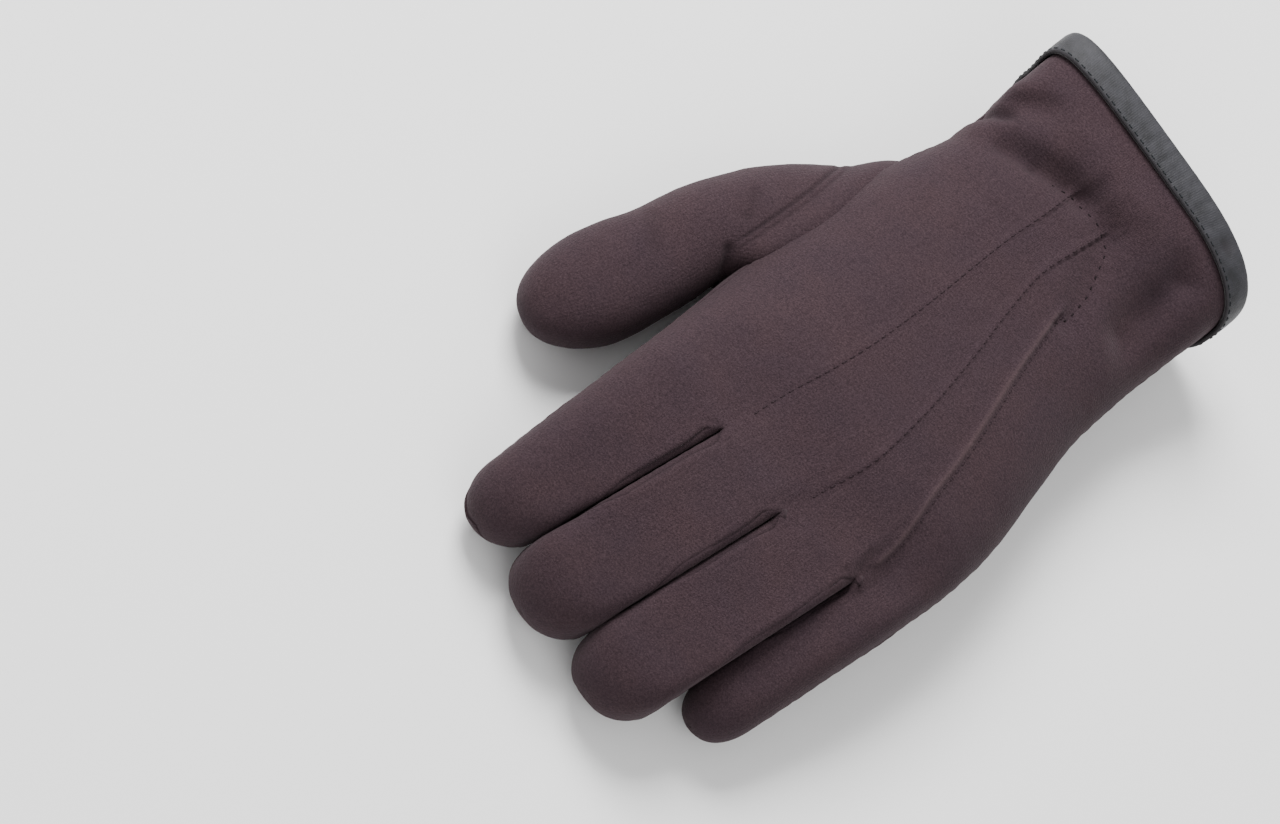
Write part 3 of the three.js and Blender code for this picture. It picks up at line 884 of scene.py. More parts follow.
@dataclass
class Surface:
    """A surface of triangles with measures at its points, in millimetres.

    Attributes:
        points: Places, shape (n, 3).
        triangles: Indices of the points, shape (m, 3), facing out.
        measures: Named values at the points, such as the cloth's own u and v.
        grids: For each grid that was joined, the index of each of its points.
    """

    points: Array
    triangles: Array
    measures: dict[str, Array]
    grids: list[Array] = field(default_factory=list)

    @staticmethod
    def join(grids: list[tuple[Array, dict[str, Array]]], flip: bool, wrap: bool = False) -> "Surface":
        """Joins grids into one surface, with points at the same place merged.

        Args:
            grids: Points of shape (rows, columns, 3), each with measures of shape (rows, columns).
            flip: Whether the faces turn round.
            wrap: Whether the last column joins the first one.

        Returns:
            The joined surface, without faces that have shrunk to a line.
        """
        flat = np.concatenate([points.reshape(-1, 3) for points, _ in grids])
        names = grids[0][1].keys()
        measures = {name: np.concatenate([held[name].ravel() for _, held in grids]) for name in names}
        _, first, index = np.unique(np.round(flat, 4), axis=0, return_index=True, return_inverse=True)
        index = index.ravel()
        triangles, places, start = [], [], 0
        for points, _ in grids:
            rows, columns = points.shape[:2]
            place = index[start : start + rows * columns].reshape(rows, columns)
            start += rows * columns
            places.append(place)
            if wrap:
                place = np.concatenate([place, place[:, :1]], axis=1)
            a, b, c, d = place[:-1, :-1], place[:-1, 1:], place[1:, 1:], place[1:, :-1]
            for corners in ((a, b, c), (a, c, d)):
                triangles.append(np.stack(corners, axis=-1).reshape(-1, 3))
        faces = np.concatenate(triangles)
        if flip:
            faces = faces[:, ::-1]
        whole = (faces[:, 0] != faces[:, 1]) & (faces[:, 1] != faces[:, 2]) & (faces[:, 2] != faces[:, 0])
        kept = {name: values[first] for name, values in measures.items()}
        return Surface(flat[first], faces[whole], kept, places)

    def normals(self) -> Array:
        """Unit normals at the points: the sum of the faces' area vectors round each point.

        Returns:
            The normals, shape (n, 3).
        """
        a, b, c = (self.points[self.triangles[:, k]] for k in range(3))
        face = np.cross(b - a, c - a)
        total = np.zeros_like(self.points)
        for k in range(3):
            np.add.at(total, self.triangles[:, k], face)
        return total / np.maximum(np.linalg.norm(total, axis=1, keepdims=True), TINY)

    def push(self, height: Array) -> None:
        """Moves each point out along its normal by a height, and never below the resting surface."""
        self.points = self.points + self.normals() * height[:, None]
        self.points[:, 2] = np.maximum(self.points[:, 2], 0.0)

    def trim(self, keep: Array) -> None:
        """Drops the faces that have no point marked to be kept."""
        self.triangles = self.triangles[keep[self.triangles].any(axis=1)]

    def mesh(self, name: str) -> bpy.types.Mesh:
        """The surface as a smooth mesh in metres, with its measures and its UV map.

        Args:
            name: The mesh's name.

        Returns:
            The mesh.
        """
        used, faces = np.unique(self.triangles, return_inverse=True)
        faces = faces.reshape(-1, 3)
        mesh = bpy.data.meshes.new(name)
        mesh.vertices.add(len(used))
        mesh.vertices.foreach_set("co", (self.points[used] * MM).astype(np.float32).ravel())
        mesh.loops.add(faces.size)
        mesh.loops.foreach_set("vertex_index", faces.astype(np.int32).ravel())
        mesh.polygons.add(len(faces))
        mesh.polygons.foreach_set("loop_start", np.arange(0, faces.size, 3, dtype=np.int32))
        mesh.polygons.foreach_set("loop_total", np.full(len(faces), 3, np.int32))
        mesh.polygons.foreach_set("use_smooth", np.ones(len(faces), bool))
        mesh.update(calc_edges=True)
        mesh.validate()
        uv = mesh.uv_layers.new(name="cloth")
        corners = np.stack([self.measures["u"][used], self.measures["v"][used]], axis=1)[faces.ravel()]
        uv.data.foreach_set("uv", corners.astype(np.float32).ravel())
        for measure in sorted(set(self.measures) - {"u", "v"}):
            layer = mesh.attributes.new(measure, "FLOAT", "POINT")
            layer.data.foreach_set("value", self.measures[measure][used].astype(np.float32))
        return mesh


class Graph:
    """Lays nodes into a shader tree and links them."""

    def __init__(self, tree: bpy.types.NodeTree) -> None:
        """Keeps the tree that the nodes go into."""
        self.tree = tree

    def feed(self, entry: Socket, value: object) -> None:
        """Links an output into a node's input, or sets the input to a plain value.

        Args:
            entry: The node's input.
            value: An output, or a plain value.
        """
        if isinstance(value, Socket):
            self.tree.links.new(value, entry)
        else:
            entry.default_value = value

    def node(self, kind: str, inputs: dict | None = None, **settings: object) -> bpy.types.Node:
        """Adds a node.

        Args:
            kind: The node's type.
            inputs: Values or linked sockets, by input name or number.
            settings: The node's own properties.

        Returns:
            The new node.
        """
        made = self.tree.nodes.new(kind)
        for name, value in settings.items():
            setattr(made, name, value)
        for key, value in (inputs or {}).items():
            self.feed(made.inputs[key], value)
        return made

    def math(self, operation: str, *terms: object) -> Socket:
        """A Math node's result."""
        return self.node("ShaderNodeMath", dict(enumerate(terms)), operation=operation).outputs[0]

    def noise(self, vector: Socket, size: Socket, detail: float) -> Socket:
        """A noise texture's value, with features of a size in millimetres on a vector in metres.

        Args:
            vector: The place.
            size: Size of the features.
            detail: How many octaves it adds.

        Returns:
            The value, from 0 to 1.
        """
        scale = self.math("DIVIDE", 1 / MM, size)
        inputs = {"Vector": vector, "Scale": scale, "Detail": detail, "Roughness": 0.55}
        return self.node("ShaderNodeTexNoise", inputs).outputs["Fac"]

    def blend(self, share: object, first: object, second: object, kind: str = "MIX") -> Socket:
        """A colour blend's result. The blend's two colours are its inputs 6 and 7."""
        inputs = {"Factor": share, 6: first, 7: second}
        return self.node("ShaderNodeMix", inputs, data_type="RGBA", blend_type=kind).outputs[2]

    def bump(self, strength: float, depth: float, height: Socket) -> Socket:
        """A Bump node's normal, with its depth in millimetres."""
        inputs = {"Strength": strength, "Distance": depth * MM, "Height": height}
        return self.node("ShaderNodeBump", inputs).outputs[0]

    def group(self, tree: bpy.types.NodeTree, inputs: dict[str, object]) -> bpy.types.Node:
        """Places a node group."""
        return self.node("ShaderNodeGroup", inputs, node_tree=tree)

    def measure(self, name: str) -> Socket:
        """A measure of the surface, by its name."""
        return self.node("ShaderNodeAttribute", attribute_name=name).outputs["Fac"]

    def cloth_place(self) -> tuple[Socket, Socket]:
        """The cloth's own u and v.

        Returns:
            The two values, in millimetres.
        """
        own = self.node("ShaderNodeUVMap", uv_map="cloth").outputs[0]
        split = self.node("ShaderNodeSeparateXYZ", {0: own})
        return split.outputs["X"], split.outputs["Y"]


class NodeGroups:
    """The effects that several materials share, each a node group built once."""

    def __init__(self) -> None:
        """Builds every group."""
        self.nap = self.build_nap()
        self.knit = self.build_knit()
        # The group that paints shade into the cloth's dents and adds the pale rub of worn ridges
        self.seam = self.build_painted_shade_and_wear()

    @staticmethod
    def start(name: str, inputs: dict, outputs: dict) -> tuple[Graph, dict[str, Socket], bpy.types.Node]:
        """Opens a group with named sockets.

        Args:
            name: The group's name.
            inputs: Each input's default, a number or a colour.
            outputs: Each output's kind of socket.

        Returns:
            Its graph, its input sockets by name, and its output node.
        """
        tree = bpy.data.node_groups.new(name, "ShaderNodeTree")
        for label, value in inputs.items():
            kind = "NodeSocketColor" if isinstance(value, tuple) else "NodeSocketFloat"
            socket = tree.interface.new_socket(label, in_out="INPUT", socket_type=kind)
            socket.default_value = value
        for label, kind in outputs.items():
            tree.interface.new_socket(label, in_out="OUTPUT", socket_type=kind)
        graph = Graph(tree)
        entry = graph.node("NodeGroupInput")
        leave = graph.node("NodeGroupOutput")
        return graph, {label: entry.outputs[label] for label in inputs}, leave

    def build_nap(self) -> bpy.types.NodeTree:
        """Brushed nap: flecks of fibre tufts, short hairs drawn along the glove, and wide cloudy shades.

        Returns:
            The group's tree.
        """
        inputs = {"Tuft size": 0.9, "Hair size": 0.22, "Cloud size": 14.0}
        outputs = dict.fromkeys(("Fleck", "Cloud", "Height"), "NodeSocketFloat")
        graph, given, leave = self.start("brushed_nap", inputs, outputs)
        place = graph.node("ShaderNodeTexCoord").outputs["Object"]
        stretched = graph.node("ShaderNodeMapping", {"Vector": place, "Scale": (1.0, 0.45, 1.0)}).outputs[0]
        tufts = graph.noise(place, given["Tuft size"], 3.0)
        hairs = graph.noise(stretched, given["Hair size"], 1.0)
        cloud = graph.noise(place, given["Cloud size"], 2.0)
        fleck = graph.math("MULTIPLY_ADD", hairs, 0.55, graph.math("MULTIPLY", tufts, 0.45))
        height = graph.math("MULTIPLY_ADD", hairs, 0.35, graph.math("MULTIPLY", tufts, 0.65))
        for label, socket in (("Fleck", fleck), ("Cloud", cloud), ("Height", height)):
            graph.tree.links.new(socket, leave.inputs[label])
        return graph.tree

    def build_knit(self) -> bpy.types.NodeTree:
        """Rows of fine loops under the nap, on the cloth's own u and v in millimetres.

        The height is |sin(pi u / width)| times 0.7 + 0.3 sin(2 pi v / length + 2 |sin|), so the loops
        of each column lean towards its middle.

        Returns:
            The group's tree.
        """
        inputs = {"Loop width": 1.1, "Loop length": 0.8}
        graph, given, leave = self.start("fine_loops", inputs, {"Height": "NodeSocketFloat"})
        across, up = graph.cloth_place()
        turn = graph.math("DIVIDE", graph.math("MULTIPLY", across, math.pi), given["Loop width"])
        column = graph.math("ABSOLUTE", graph.math("SINE", turn))
        lean = graph.math("MULTIPLY", column, 2.0)
        course = graph.math("DIVIDE", graph.math("MULTIPLY", up, 2 * math.pi), given["Loop length"])
        wave = graph.math("SINE", graph.math("ADD", course, lean))
        loops = graph.math("MULTIPLY", column, graph.math("MULTIPLY_ADD", wave, 0.3, 0.7))
        graph.tree.links.new(loops, leave.inputs["Height"])
        return graph.tree

    def build_painted_shade_and_wear(self) -> bpy.types.NodeTree:
        """Painted shade in seams and folds, and the pale rub of worn ridges, from the surface's own measures.

        Returns:
            The group's tree.
        """
        # shade is the painted shade that Depth blends into the dents of seams, grooves and folds; pale is the
        # rub of worn ridges
        grey, pale, shade = (0.1, 0.1, 0.1, 1.0), (0.3, 0.3, 0.3, 1.0), (0.009, 0.005, 0.007, 1.0)
        inputs = {"Color": grey, "Depth": 0.6, "Rub": 0.3, "Rub color": pale}
        graph, given, leave = self.start("painted_shade_and_wear", inputs, {"Color": "NodeSocketColor"})
        hollow, ridge = graph.measure("hollow"), graph.measure("ridge")
        dark = graph.blend(graph.math("MULTIPLY", hollow, given["Depth"]), given["Color"], shade)
        worn = graph.blend(graph.math("MULTIPLY", ridge, given["Rub"]), dark, given["Rub color"])
        graph.tree.links.new(worn, leave.inputs["Color"])
        return graph.tree


@dataclass(frozen=True)
class Finish:
    """A finish, which a kind of its own turns into what its shader reads."""

    name: str

    def shader_inputs(self, graph: Graph, groups: NodeGroups) -> dict[str, object]:
        """What the shader reads, by the names of its sockets."""
        raise NotImplementedError

    def material(self, groups: NodeGroups) -> bpy.types.Material:
        """The finish as a material.

        Args:
            groups: The shared effects.

        Returns:
            The material.
        """
        made = bpy.data.materials.new(self.name)
        made.use_nodes = True
        made.node_tree.nodes.clear()
        graph = Graph(made.node_tree)
        shader = graph.node("ShaderNodeBsdfPrincipled", self.shader_inputs(graph, groups))
        graph.node("ShaderNodeOutputMaterial", {0: shader.outputs[0]})
        return made


@dataclass(frozen=True)
class NappedCotton(Finish):
    """Brown cotton jersey with a brushed face.

    Attributes:
        dark, mid, light: The shades of the cloth, from the hollows between the tufts to their tips.
        worn: The paler shade of rubbed ridges.
        bump: How strongly the nap stands out.
    """

    dark: Color = BROWN_DARK
    mid: Color = (0.0300, 0.0178, 0.0222, 1.0)
    light: Color = BROWN_LIGHT
    worn: Color = (0.075, 0.049, 0.051, 1.0)
    bump: float = 0.55

    def shader_inputs(self, graph: Graph, groups: NodeGroups) -> dict[str, object]:
        """What the cloth's shader reads.

        Args:
            graph: The material's graph.
            groups: The shared effects.

        Returns:
            The shader's inputs by name.
        """
        nap = graph.group(groups.nap, {"Tuft size": 0.62, "Hair size": 0.2, "Cloud size": 16.0})
        knit = graph.group(groups.knit, {"Loop width": 1.15, "Loop length": 0.85})
        ramp = graph.node("ShaderNodeValToRGB", {"Fac": nap.outputs["Fleck"]})
        stops = ramp.color_ramp.elements
        stops[0].position, stops[0].color = 0.36, self.dark
        stops[1].position, stops[1].color = 0.66, self.light
        stops.new(0.5).color = self.mid
        warm = graph.blend(nap.outputs["Cloud"], (0.86, 0.87, 0.94, 1.0), (1.16, 1.09, 1.02, 1.0))
        clouded = graph.blend(1.0, ramp.outputs[0], warm, "MULTIPLY")
        # Depth sets how dark the painted shade in seams, tuck grooves and folds gets; Rub and Rub color give
        # the wear of ridges
        fields = {"Color": clouded, "Depth": 0.75, "Rub": 0.5, "Rub color": self.worn}
        painted_shade_and_rub = graph.group(groups.seam, fields)
        relief = graph.math("MULTIPLY_ADD", knit.outputs["Height"], 0.18, nap.outputs["Height"])
        return {
            "Base Color": painted_shade_and_rub.outputs[0],
            "Roughness": graph.math("MULTIPLY_ADD", nap.outputs["Fleck"], 0.15, 0.82),
            "Normal": graph.bump(self.bump, 0.6, relief),
            "Specular IOR Level": 0.14,
            "Sheen Weight": 0.08,
            "Sheen Roughness": 0.5,
            "Sheen Tint": (0.62, 0.52, 0.55, 1.0),
        }


@dataclass(frozen=True)
class WovenTape(Finish):
    """Slate grey binding tape with fine crosswise ribs and a soft sheen.

    Attributes:
        dark, light: The shades of its mottle.
        worn: The paler shade of its rubbed edge.
        rib: From one rib to the next, in millimetres.
    """

    dark: Color = (0.006, 0.006, 0.0075, 1.0)
    light: Color = (0.022, 0.0215, 0.0265, 1.0)
    worn: Color = (0.034, 0.034, 0.040, 1.0)
    rib: float = 0.62

    def shader_inputs(self, graph: Graph, groups: NodeGroups) -> dict[str, object]:
        """What the tape's shader reads.

        Args:
            graph: The material's graph.
            groups: The shared effects.

        Returns:
            The shader's inputs by name.
        """
        turn = graph.math("MULTIPLY", graph.cloth_place()[0], 2 * math.pi / self.rib)
        ribs = graph.math("MULTIPLY_ADD", graph.math("SINE", turn), 0.5, 0.5)
        nap = graph.group(groups.nap, {"Tuft size": 0.7, "Hair size": 0.16, "Cloud size": 3.4})
        mottle = graph.math("SUBTRACT", graph.math("MULTIPLY", nap.outputs["Cloud"], 2.2), 0.85)
        tone = graph.math("MULTIPLY_ADD", nap.outputs["Fleck"], 0.5, mottle)
        base = graph.blend(tone, self.dark, self.light)
        # Depth sets how dark the painted shade at the tape's two edges and in its join gets; Rub and Rub
        # color give the wear near its fold
        fields = {"Color": base, "Depth": 0.6, "Rub": 0.45, "Rub color": self.worn}
        painted_shade_and_rub = graph.group(groups.seam, fields)
        relief = graph.math("MULTIPLY_ADD", ribs, 0.12, nap.outputs["Height"])
        return {
            "Base Color": painted_shade_and_rub.outputs[0],
            "Roughness": graph.math("MULTIPLY_ADD", nap.outputs["Fleck"], 0.25, 0.5),
            "Normal": graph.bump(0.5, 0.4, relief),
            "Specular IOR Level": 0.35,
            "Sheen Weight": 0.1,
            "Sheen Roughness": 0.4,
        }


@dataclass(frozen=True)
class SewingThread(Finish):
    """Spun sewing thread with its twist.

    Attributes:
        dark, light: The painted shade between its plies and the painted light on top of them.
    """

    dark: Color
    light: Color

    def shader_inputs(self, graph: Graph, groups: NodeGroups) -> dict[str, object]:
        """What the thread's shader reads.

        Args:
            graph: The material's graph.
            groups: The shared effects.

        Returns:
            The shader's inputs by name.
        """
        around, down = graph.cloth_place()
        twist = graph.math("SINE", graph.math("MULTIPLY_ADD", around, 2 * math.pi, down))
        ply = graph.math("MULTIPLY_ADD", twist, 0.5, 0.5)
        nap = graph.group(groups.nap, {"Tuft size": 0.6, "Hair size": 0.12, "Cloud size": 5.0})
        # Painted shade between the plies and painted light on their tops, broken by the nap's flecks
        painted_light = graph.math("MULTIPLY", ply, nap.outputs["Fleck"])
        return {
            "Base Color": graph.blend(painted_light, self.dark, self.light),
            "Roughness": 0.8,
            "Normal": graph.bump(0.5, 0.2, ply),
            "Specular IOR Level": 0.12,
        }


def add_piece(mesh: bpy.types.Mesh, finish: bpy.types.Material, slot: str, *nodes: str) -> bpy.types.Object:
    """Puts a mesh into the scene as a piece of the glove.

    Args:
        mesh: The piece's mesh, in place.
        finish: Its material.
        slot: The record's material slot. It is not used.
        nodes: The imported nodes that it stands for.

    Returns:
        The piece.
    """
    piece = bpy.data.objects.new(mesh.name, mesh)
    bpy.context.scene.collection.objects.link(piece)
    mesh.materials.append(finish)
    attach(piece, "root")
    if nodes:
        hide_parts(*nodes)
    LOG.info("%s: %d faces", piece.name, len(mesh.polygons))
    return piece


def thicken(piece: bpy.types.Object, wall: float) -> None:
    """Gives a piece a wall inwards of its surface, in millimetres.

    Args:
        piece: The piece.
        wall: How thick its wall is.
    """
    solid = piece.modifiers.new("wall", "SOLIDIFY")
    solid.thickness = wall * MM
    solid.offset = -1.0
    solid.use_even_offset = False


@dataclass(frozen=True)
class Relief:
    """The small forms of the cloth, as heights along its normals in millimetres.

    Attributes:
        seam_dip, seam_width: How deep and how wide the cloth turns in at a sewn edge.
        joint_rim, joint_run: How high the thumb's cloth rises to the hand, and over what run.
        joint_lines: The lines of sewing there: distance from the hand, depth and width.
        pucker, pucker_length: Height and length of the puckers between stitches.
        gather_pitch, gather_seed: Length of the shirring's ripples, and the seed of their unevenness.
        waves: Size and height of the limp cloth's waves.
    """

    seam_dip: float = 0.26
    seam_width: float = 0.48
    joint_rim: float = 1.7
    joint_run: float = 6.5
    joint_lines: tuple[tuple[float, float, float], ...] = ((7.2, 0.5, 0.5), (5.3, 0.3, 0.4))
    pucker: float = 0.06
    pucker_length: float = 4.6
    gather_pitch: float = 3.6
    gather_seed: int = 71
    waves: tuple[tuple[float, float], ...] = ((21.0, 0.42), (9.0, 0.2), (3.2, 0.07))

    def folds(self, points: Array, table: Table) -> Array:
        """Short folds: a bell round each one's line, fading at its ends.

        Args:
            points: The cloth's points.
            table: The folds' ends, widths and depths.

        Returns:
            The height at each point.
        """
        height = np.zeros(len(points))
        for fold in table.records():
            start, end = (fold["x1"], fold["y1"]), (fold["x2"], fold["y2"])
            away, _ = line_distance(points[:, 0], points[:, 1], start, end)
            height -= fold["deep"] * bell(away, fold["wide"])
        return height

    def seams(self, edge: Array, points: Array) -> Array:
        """The cloth turns in at its sewn edges, and puckers a little between the stitches.

        Args:
            edge: Distance to the nearest sewn edge.
            points: The cloth's points.

        Returns:
            The height at each point.
        """
        run = points[:, 1] + 0.6 * points[:, 0]
        drawn = self.pucker * np.sin(2 * math.pi * run / self.pucker_length) * bell(edge - 1.4, 1.4)
        return drawn + 0.12 * bell(edge - 1.6, 0.9) - self.seam_dip * bell(edge, self.seam_width)

    def joint(self, away: Array, points: Array) -> tuple[Array, Array]:
        """The thumb's cloth rises to the hand, and two lines of sewing run along that rise.

        Args:
            away: How far the points lie outside the hand.
            points: Their places.

        Returns:
            The height of the rise and of the lines, which both end where thumb and hand part.
        """
        joined = 1 - smooth(-2.0, 6.0, points[:, 1])
        rise = self.joint_rim * (1 - smooth(0.0, self.joint_run, away))
        lines = sum(-dip * bell(away - place, width) for place, dip, width in self.joint_lines)
        return rise * joined, lines * joined

    def gathers(self, points: Array) -> Array:
        """Shirring: a dotted valley along the gather line, and ripples that cross it and die away.

        Args:
            points: The cloth's points.

        Returns:
            The height at each point.
        """
        x, y = points[:, 0], points[:, 1]
        stops = np.array(GATHER_LINE)
        lengths = np.hypot(*np.diff(stops, axis=0).T)
        begin = np.concatenate([[0.0], np.cumsum(lengths)])
        away = np.full(len(points), 1e6)
        run = np.zeros(len(points))
        for k, (start, end) in enumerate(zip(GATHER_LINE[:-1], GATHER_LINE[1:])):
            distance, share = line_distance(x, y, start, end)
            nearer = distance < away
            run = np.where(nearer, begin[k] + share * lengths[k], run)
            away = np.minimum(away, distance)
        wave = np.cos(2 * math.pi * run / self.gather_pitch)
        inside = smooth(0.0, 3.0, run) * (1 - smooth(begin[-1] - 3.0, begin[-1], run))
        uneven = 1 + 0.8 * lattice_noise(points, 5.0, self.gather_seed)
        ripples = 0.24 * wave * bell(away, 3.0)
        valley = 0.5 * (0.55 + 0.45 * wave) * bell(away, 1.6)
        return inside * uneven * (ripples - valley)

    def drape(self, points: Array, seed: int) -> Array:
        """Soft unevenness of limp cloth, in wide, middle and small waves."""
        return sum(high * lattice_noise(points, size, seed + k) for k, (size, high) in enumerate(self.waves))


def painted_shade_and_wear_measures(surface: Surface, height: Array) -> None:
    """Keeps the painted shade of the relief's dents and the pale rub of its ridges, as measures for the
    finish.
    """
    surface.measures["hollow"] = np.clip(-height / PAINTED_SHADE_DEPTH, 0.0, 1.0)
    surface.measures["ridge"] = np.clip((height - RUB_START) / PAINTED_SHADE_DEPTH, 0.0, 1.0)


@dataclass
class HandPanels:
    """The back panel with its three tucks, and the palm panel.

    Attributes:
        columns, hand_rows, finger_rows: Points across a finger, along the hand and along a finger.
        side_crowd, end_crowd, tip_crowd: How much they crowd at the sides, at both ends of the hand
            and at the fingertip.
        tuck_width, groove_width: Half the width of a tuck's ridge, and that of its groove.
        seed: Of the cloth's waves.
        thumb_lap: How far the panels run on into the thumb.
    """

    form: GloveForm
    relief: Relief
    columns: int = 33
    hand_rows: int = 190
    finger_rows: int = 84
    side_crowd: float = 0.72
    end_crowd: float = 0.25
    tip_crowd: float = 1.45
    tuck_width: float = 1.3
    groove_width: float = 0.45
    seed: int = 11
    thumb_lap: float = 1.3

    def places(self) -> Array:
        """The rows' places along the hand, from 0 at the cuff to 1 at the webs."""
        return crowded(self.hand_rows, self.end_crowd)

    def tucks(self, finger: int, left: Array, right: Array, reach: Array) -> Array:
        """The tucks' height over one finger's share of the back.

        A ridge is a bell round the tuck's line. The stitched groove beside it is a narrower one, and
        deeper near the wrist.

        Args:
            finger: 0 for the little finger to 3 for the index finger.
            left: Distance to the share's first side.
            right: Distance to its other side.
            reach: The place along hand and finger, from 0 to 2.

        Returns:
            The height at each point.
        """
        height = np.zeros_like(left)
        for row in TUCKS.records():
            shown = smooth(row["start"], row["start"] + 0.05, reach)
            shown = shown * (1 - smooth(row["end"] - 0.03, row["end"], reach))
            stitched = 0.6 + 0.4 * np.cos(2 * math.pi * self.form.palm_length * reach / StitchRow.pitch)
            deeper = 1 + 4.5 * (1 - smooth(row["start"] + 0.08, row["start"] + 0.2, reach))
            if row["line"] == finger + 1:
                groove = row["groove"] * stitched * deeper * bell(right - self.tuck_width, self.groove_width)
                height = height + shown * (row["ridge"] * bell(right, self.tuck_width) - groove)
            elif row["line"] == finger:
                height = height + shown * (row["ridge"] * bell(left, self.tuck_width))
        return height

    def grid(self, finger: int, side: Side) -> tuple[Array, dict[str, Array]]:
        """One finger's share of a panel, from the cuff to the fingertip.

        Args:
            finger: 0 for the little finger to 3 for the index finger.
            side: Back or palm.

        Returns:
            The points, and the measures at them: the cloth's u and v, the distance to a sewn
            edge, and the height of the tucks.
        """
        form = self.form
        column = crowded(self.columns, self.side_crowd)[None, :]
        along = self.places()[:, None]
        beyond = 1 - (1 - np.linspace(0.0, 1.0, self.finger_rows)[1:, None]) ** self.tip_crowd
        closed = form.closed_point(finger, column, along, side, 0.0)
        opened = form.open_point(finger, column, beyond, side, 0.0)
        points = np.concatenate([closed, opened])
        steps = np.linalg.norm(np.diff(points, axis=1), axis=2)
        left = np.concatenate([np.zeros((len(points), 1)), np.cumsum(steps, axis=1)], axis=1)
        right = left[:, -1:] - left
        behind = np.concatenate([form.palm_length * (1 - along), 0.0 * beyond])
        edge_left = left if finger == 0 else np.hypot(left, behind)
        edge_right = right if finger == 3 else np.hypot(right, behind)
        tip = np.concatenate([0.0 * along, 4.0 * smooth(0.8, 0.93, beyond)])
        reach = np.concatenate([along, 1 + beyond])
        tuck = self.tucks(finger, left, right, reach) if side is Side.BACK else np.zeros_like(left)
        across = (finger + column) * form.palm_width / 4
        run = np.concatenate([form.palm_length * along, form.palm_length + form.finger_length * beyond])
        measures = {
            "u": across + 0.0 * left,
            "v": run + 0.0 * left,
            "edge": np.minimum(edge_left, edge_right) + tip,
            "tuck": tuck,
        }
        return points, measures

    def surface(self, side: Side) -> Surface:
        """A whole panel with its relief, cut away where the thumb goes in.

        Args:
            side: Back or palm.

        Returns:
            The panel's surface.
        """
        made = Surface.join([self.grid(finger, side) for finger in range(4)], flip=side is Side.PALM)
        points = made.points.copy()
        facing = side.value * made.normals()[:, 2]
        shown = smooth(0.15, 0.7, facing)
        thumb = self.form.thumb_depth(points)
        sewn = made.measures.pop("tuck") + self.relief.seams(made.measures.pop("edge"), points)
        if side is Side.BACK:
            folded = shown * (self.relief.folds(points, BACK_FOLDS) + self.relief.gathers(points))
            folded += smooth(-0.3, 0.2, facing) * self.relief.folds(points, SIDE_FOLDS)
        else:
            folded = shown * self.relief.folds(points, PALM_FOLDS)
        # Painted shade in the seams, the tucks' grooves and, weaker, the folds; the tucks' ridges get the rub
        # of wear
        painted_shade_and_wear_measures(made, sewn + 0.3 * folded)
        made.push(sewn + folded + self.relief.drape(points, self.seed + side.value))
        made.trim(thumb > -self.thumb_lap)
        return made


@dataclass
class ThumbSleeve:
    """The separate thumb, set into the side of the hand."""

    form: GloveForm
    relief: Relief
    rows: int = 150
    sides: int = 200
    seed: int = 31
    hand_lap: float = 1.2

    def surface(self) -> Surface:
        """The thumb with its relief, cut away where it runs hand_lap into the hand's hollow.

        Returns:
            The thumb's surface.
        """
        even = np.linspace(0.0, 1.0, self.rows)
        along = (0.5 - 0.5 * np.cos(math.pi * even))[:, None]
        angle = (2 * math.pi * np.arange(self.sides) / self.sides)[None, :]
        points = self.form.thumb_point(angle, along)
        measures = {
            "u": 15.0 * angle + 0.0 * along,
            "v": 130.0 * along + 0.0 * angle,
        }
        made = Surface.join([(points, measures)], flip=True, wrap=True)
        flat = made.points.copy()
        hand = self.form.hand_depth(flat)
        rise, sewn = self.relief.joint(hand, flat)
        folded = smooth(0.15, 0.7, made.normals()[:, 2]) * self.relief.folds(flat, THUMB_FOLDS)
        # Painted shade along the two sewing lines of the joint and, weaker, in the folds
        painted_shade_and_wear_measures(made, sewn + 0.5 * folded)
        made.push(rise + sewn + folded + self.relief.drape(flat, self.seed))
        made.trim(hand > -self.hand_lap)
        return made


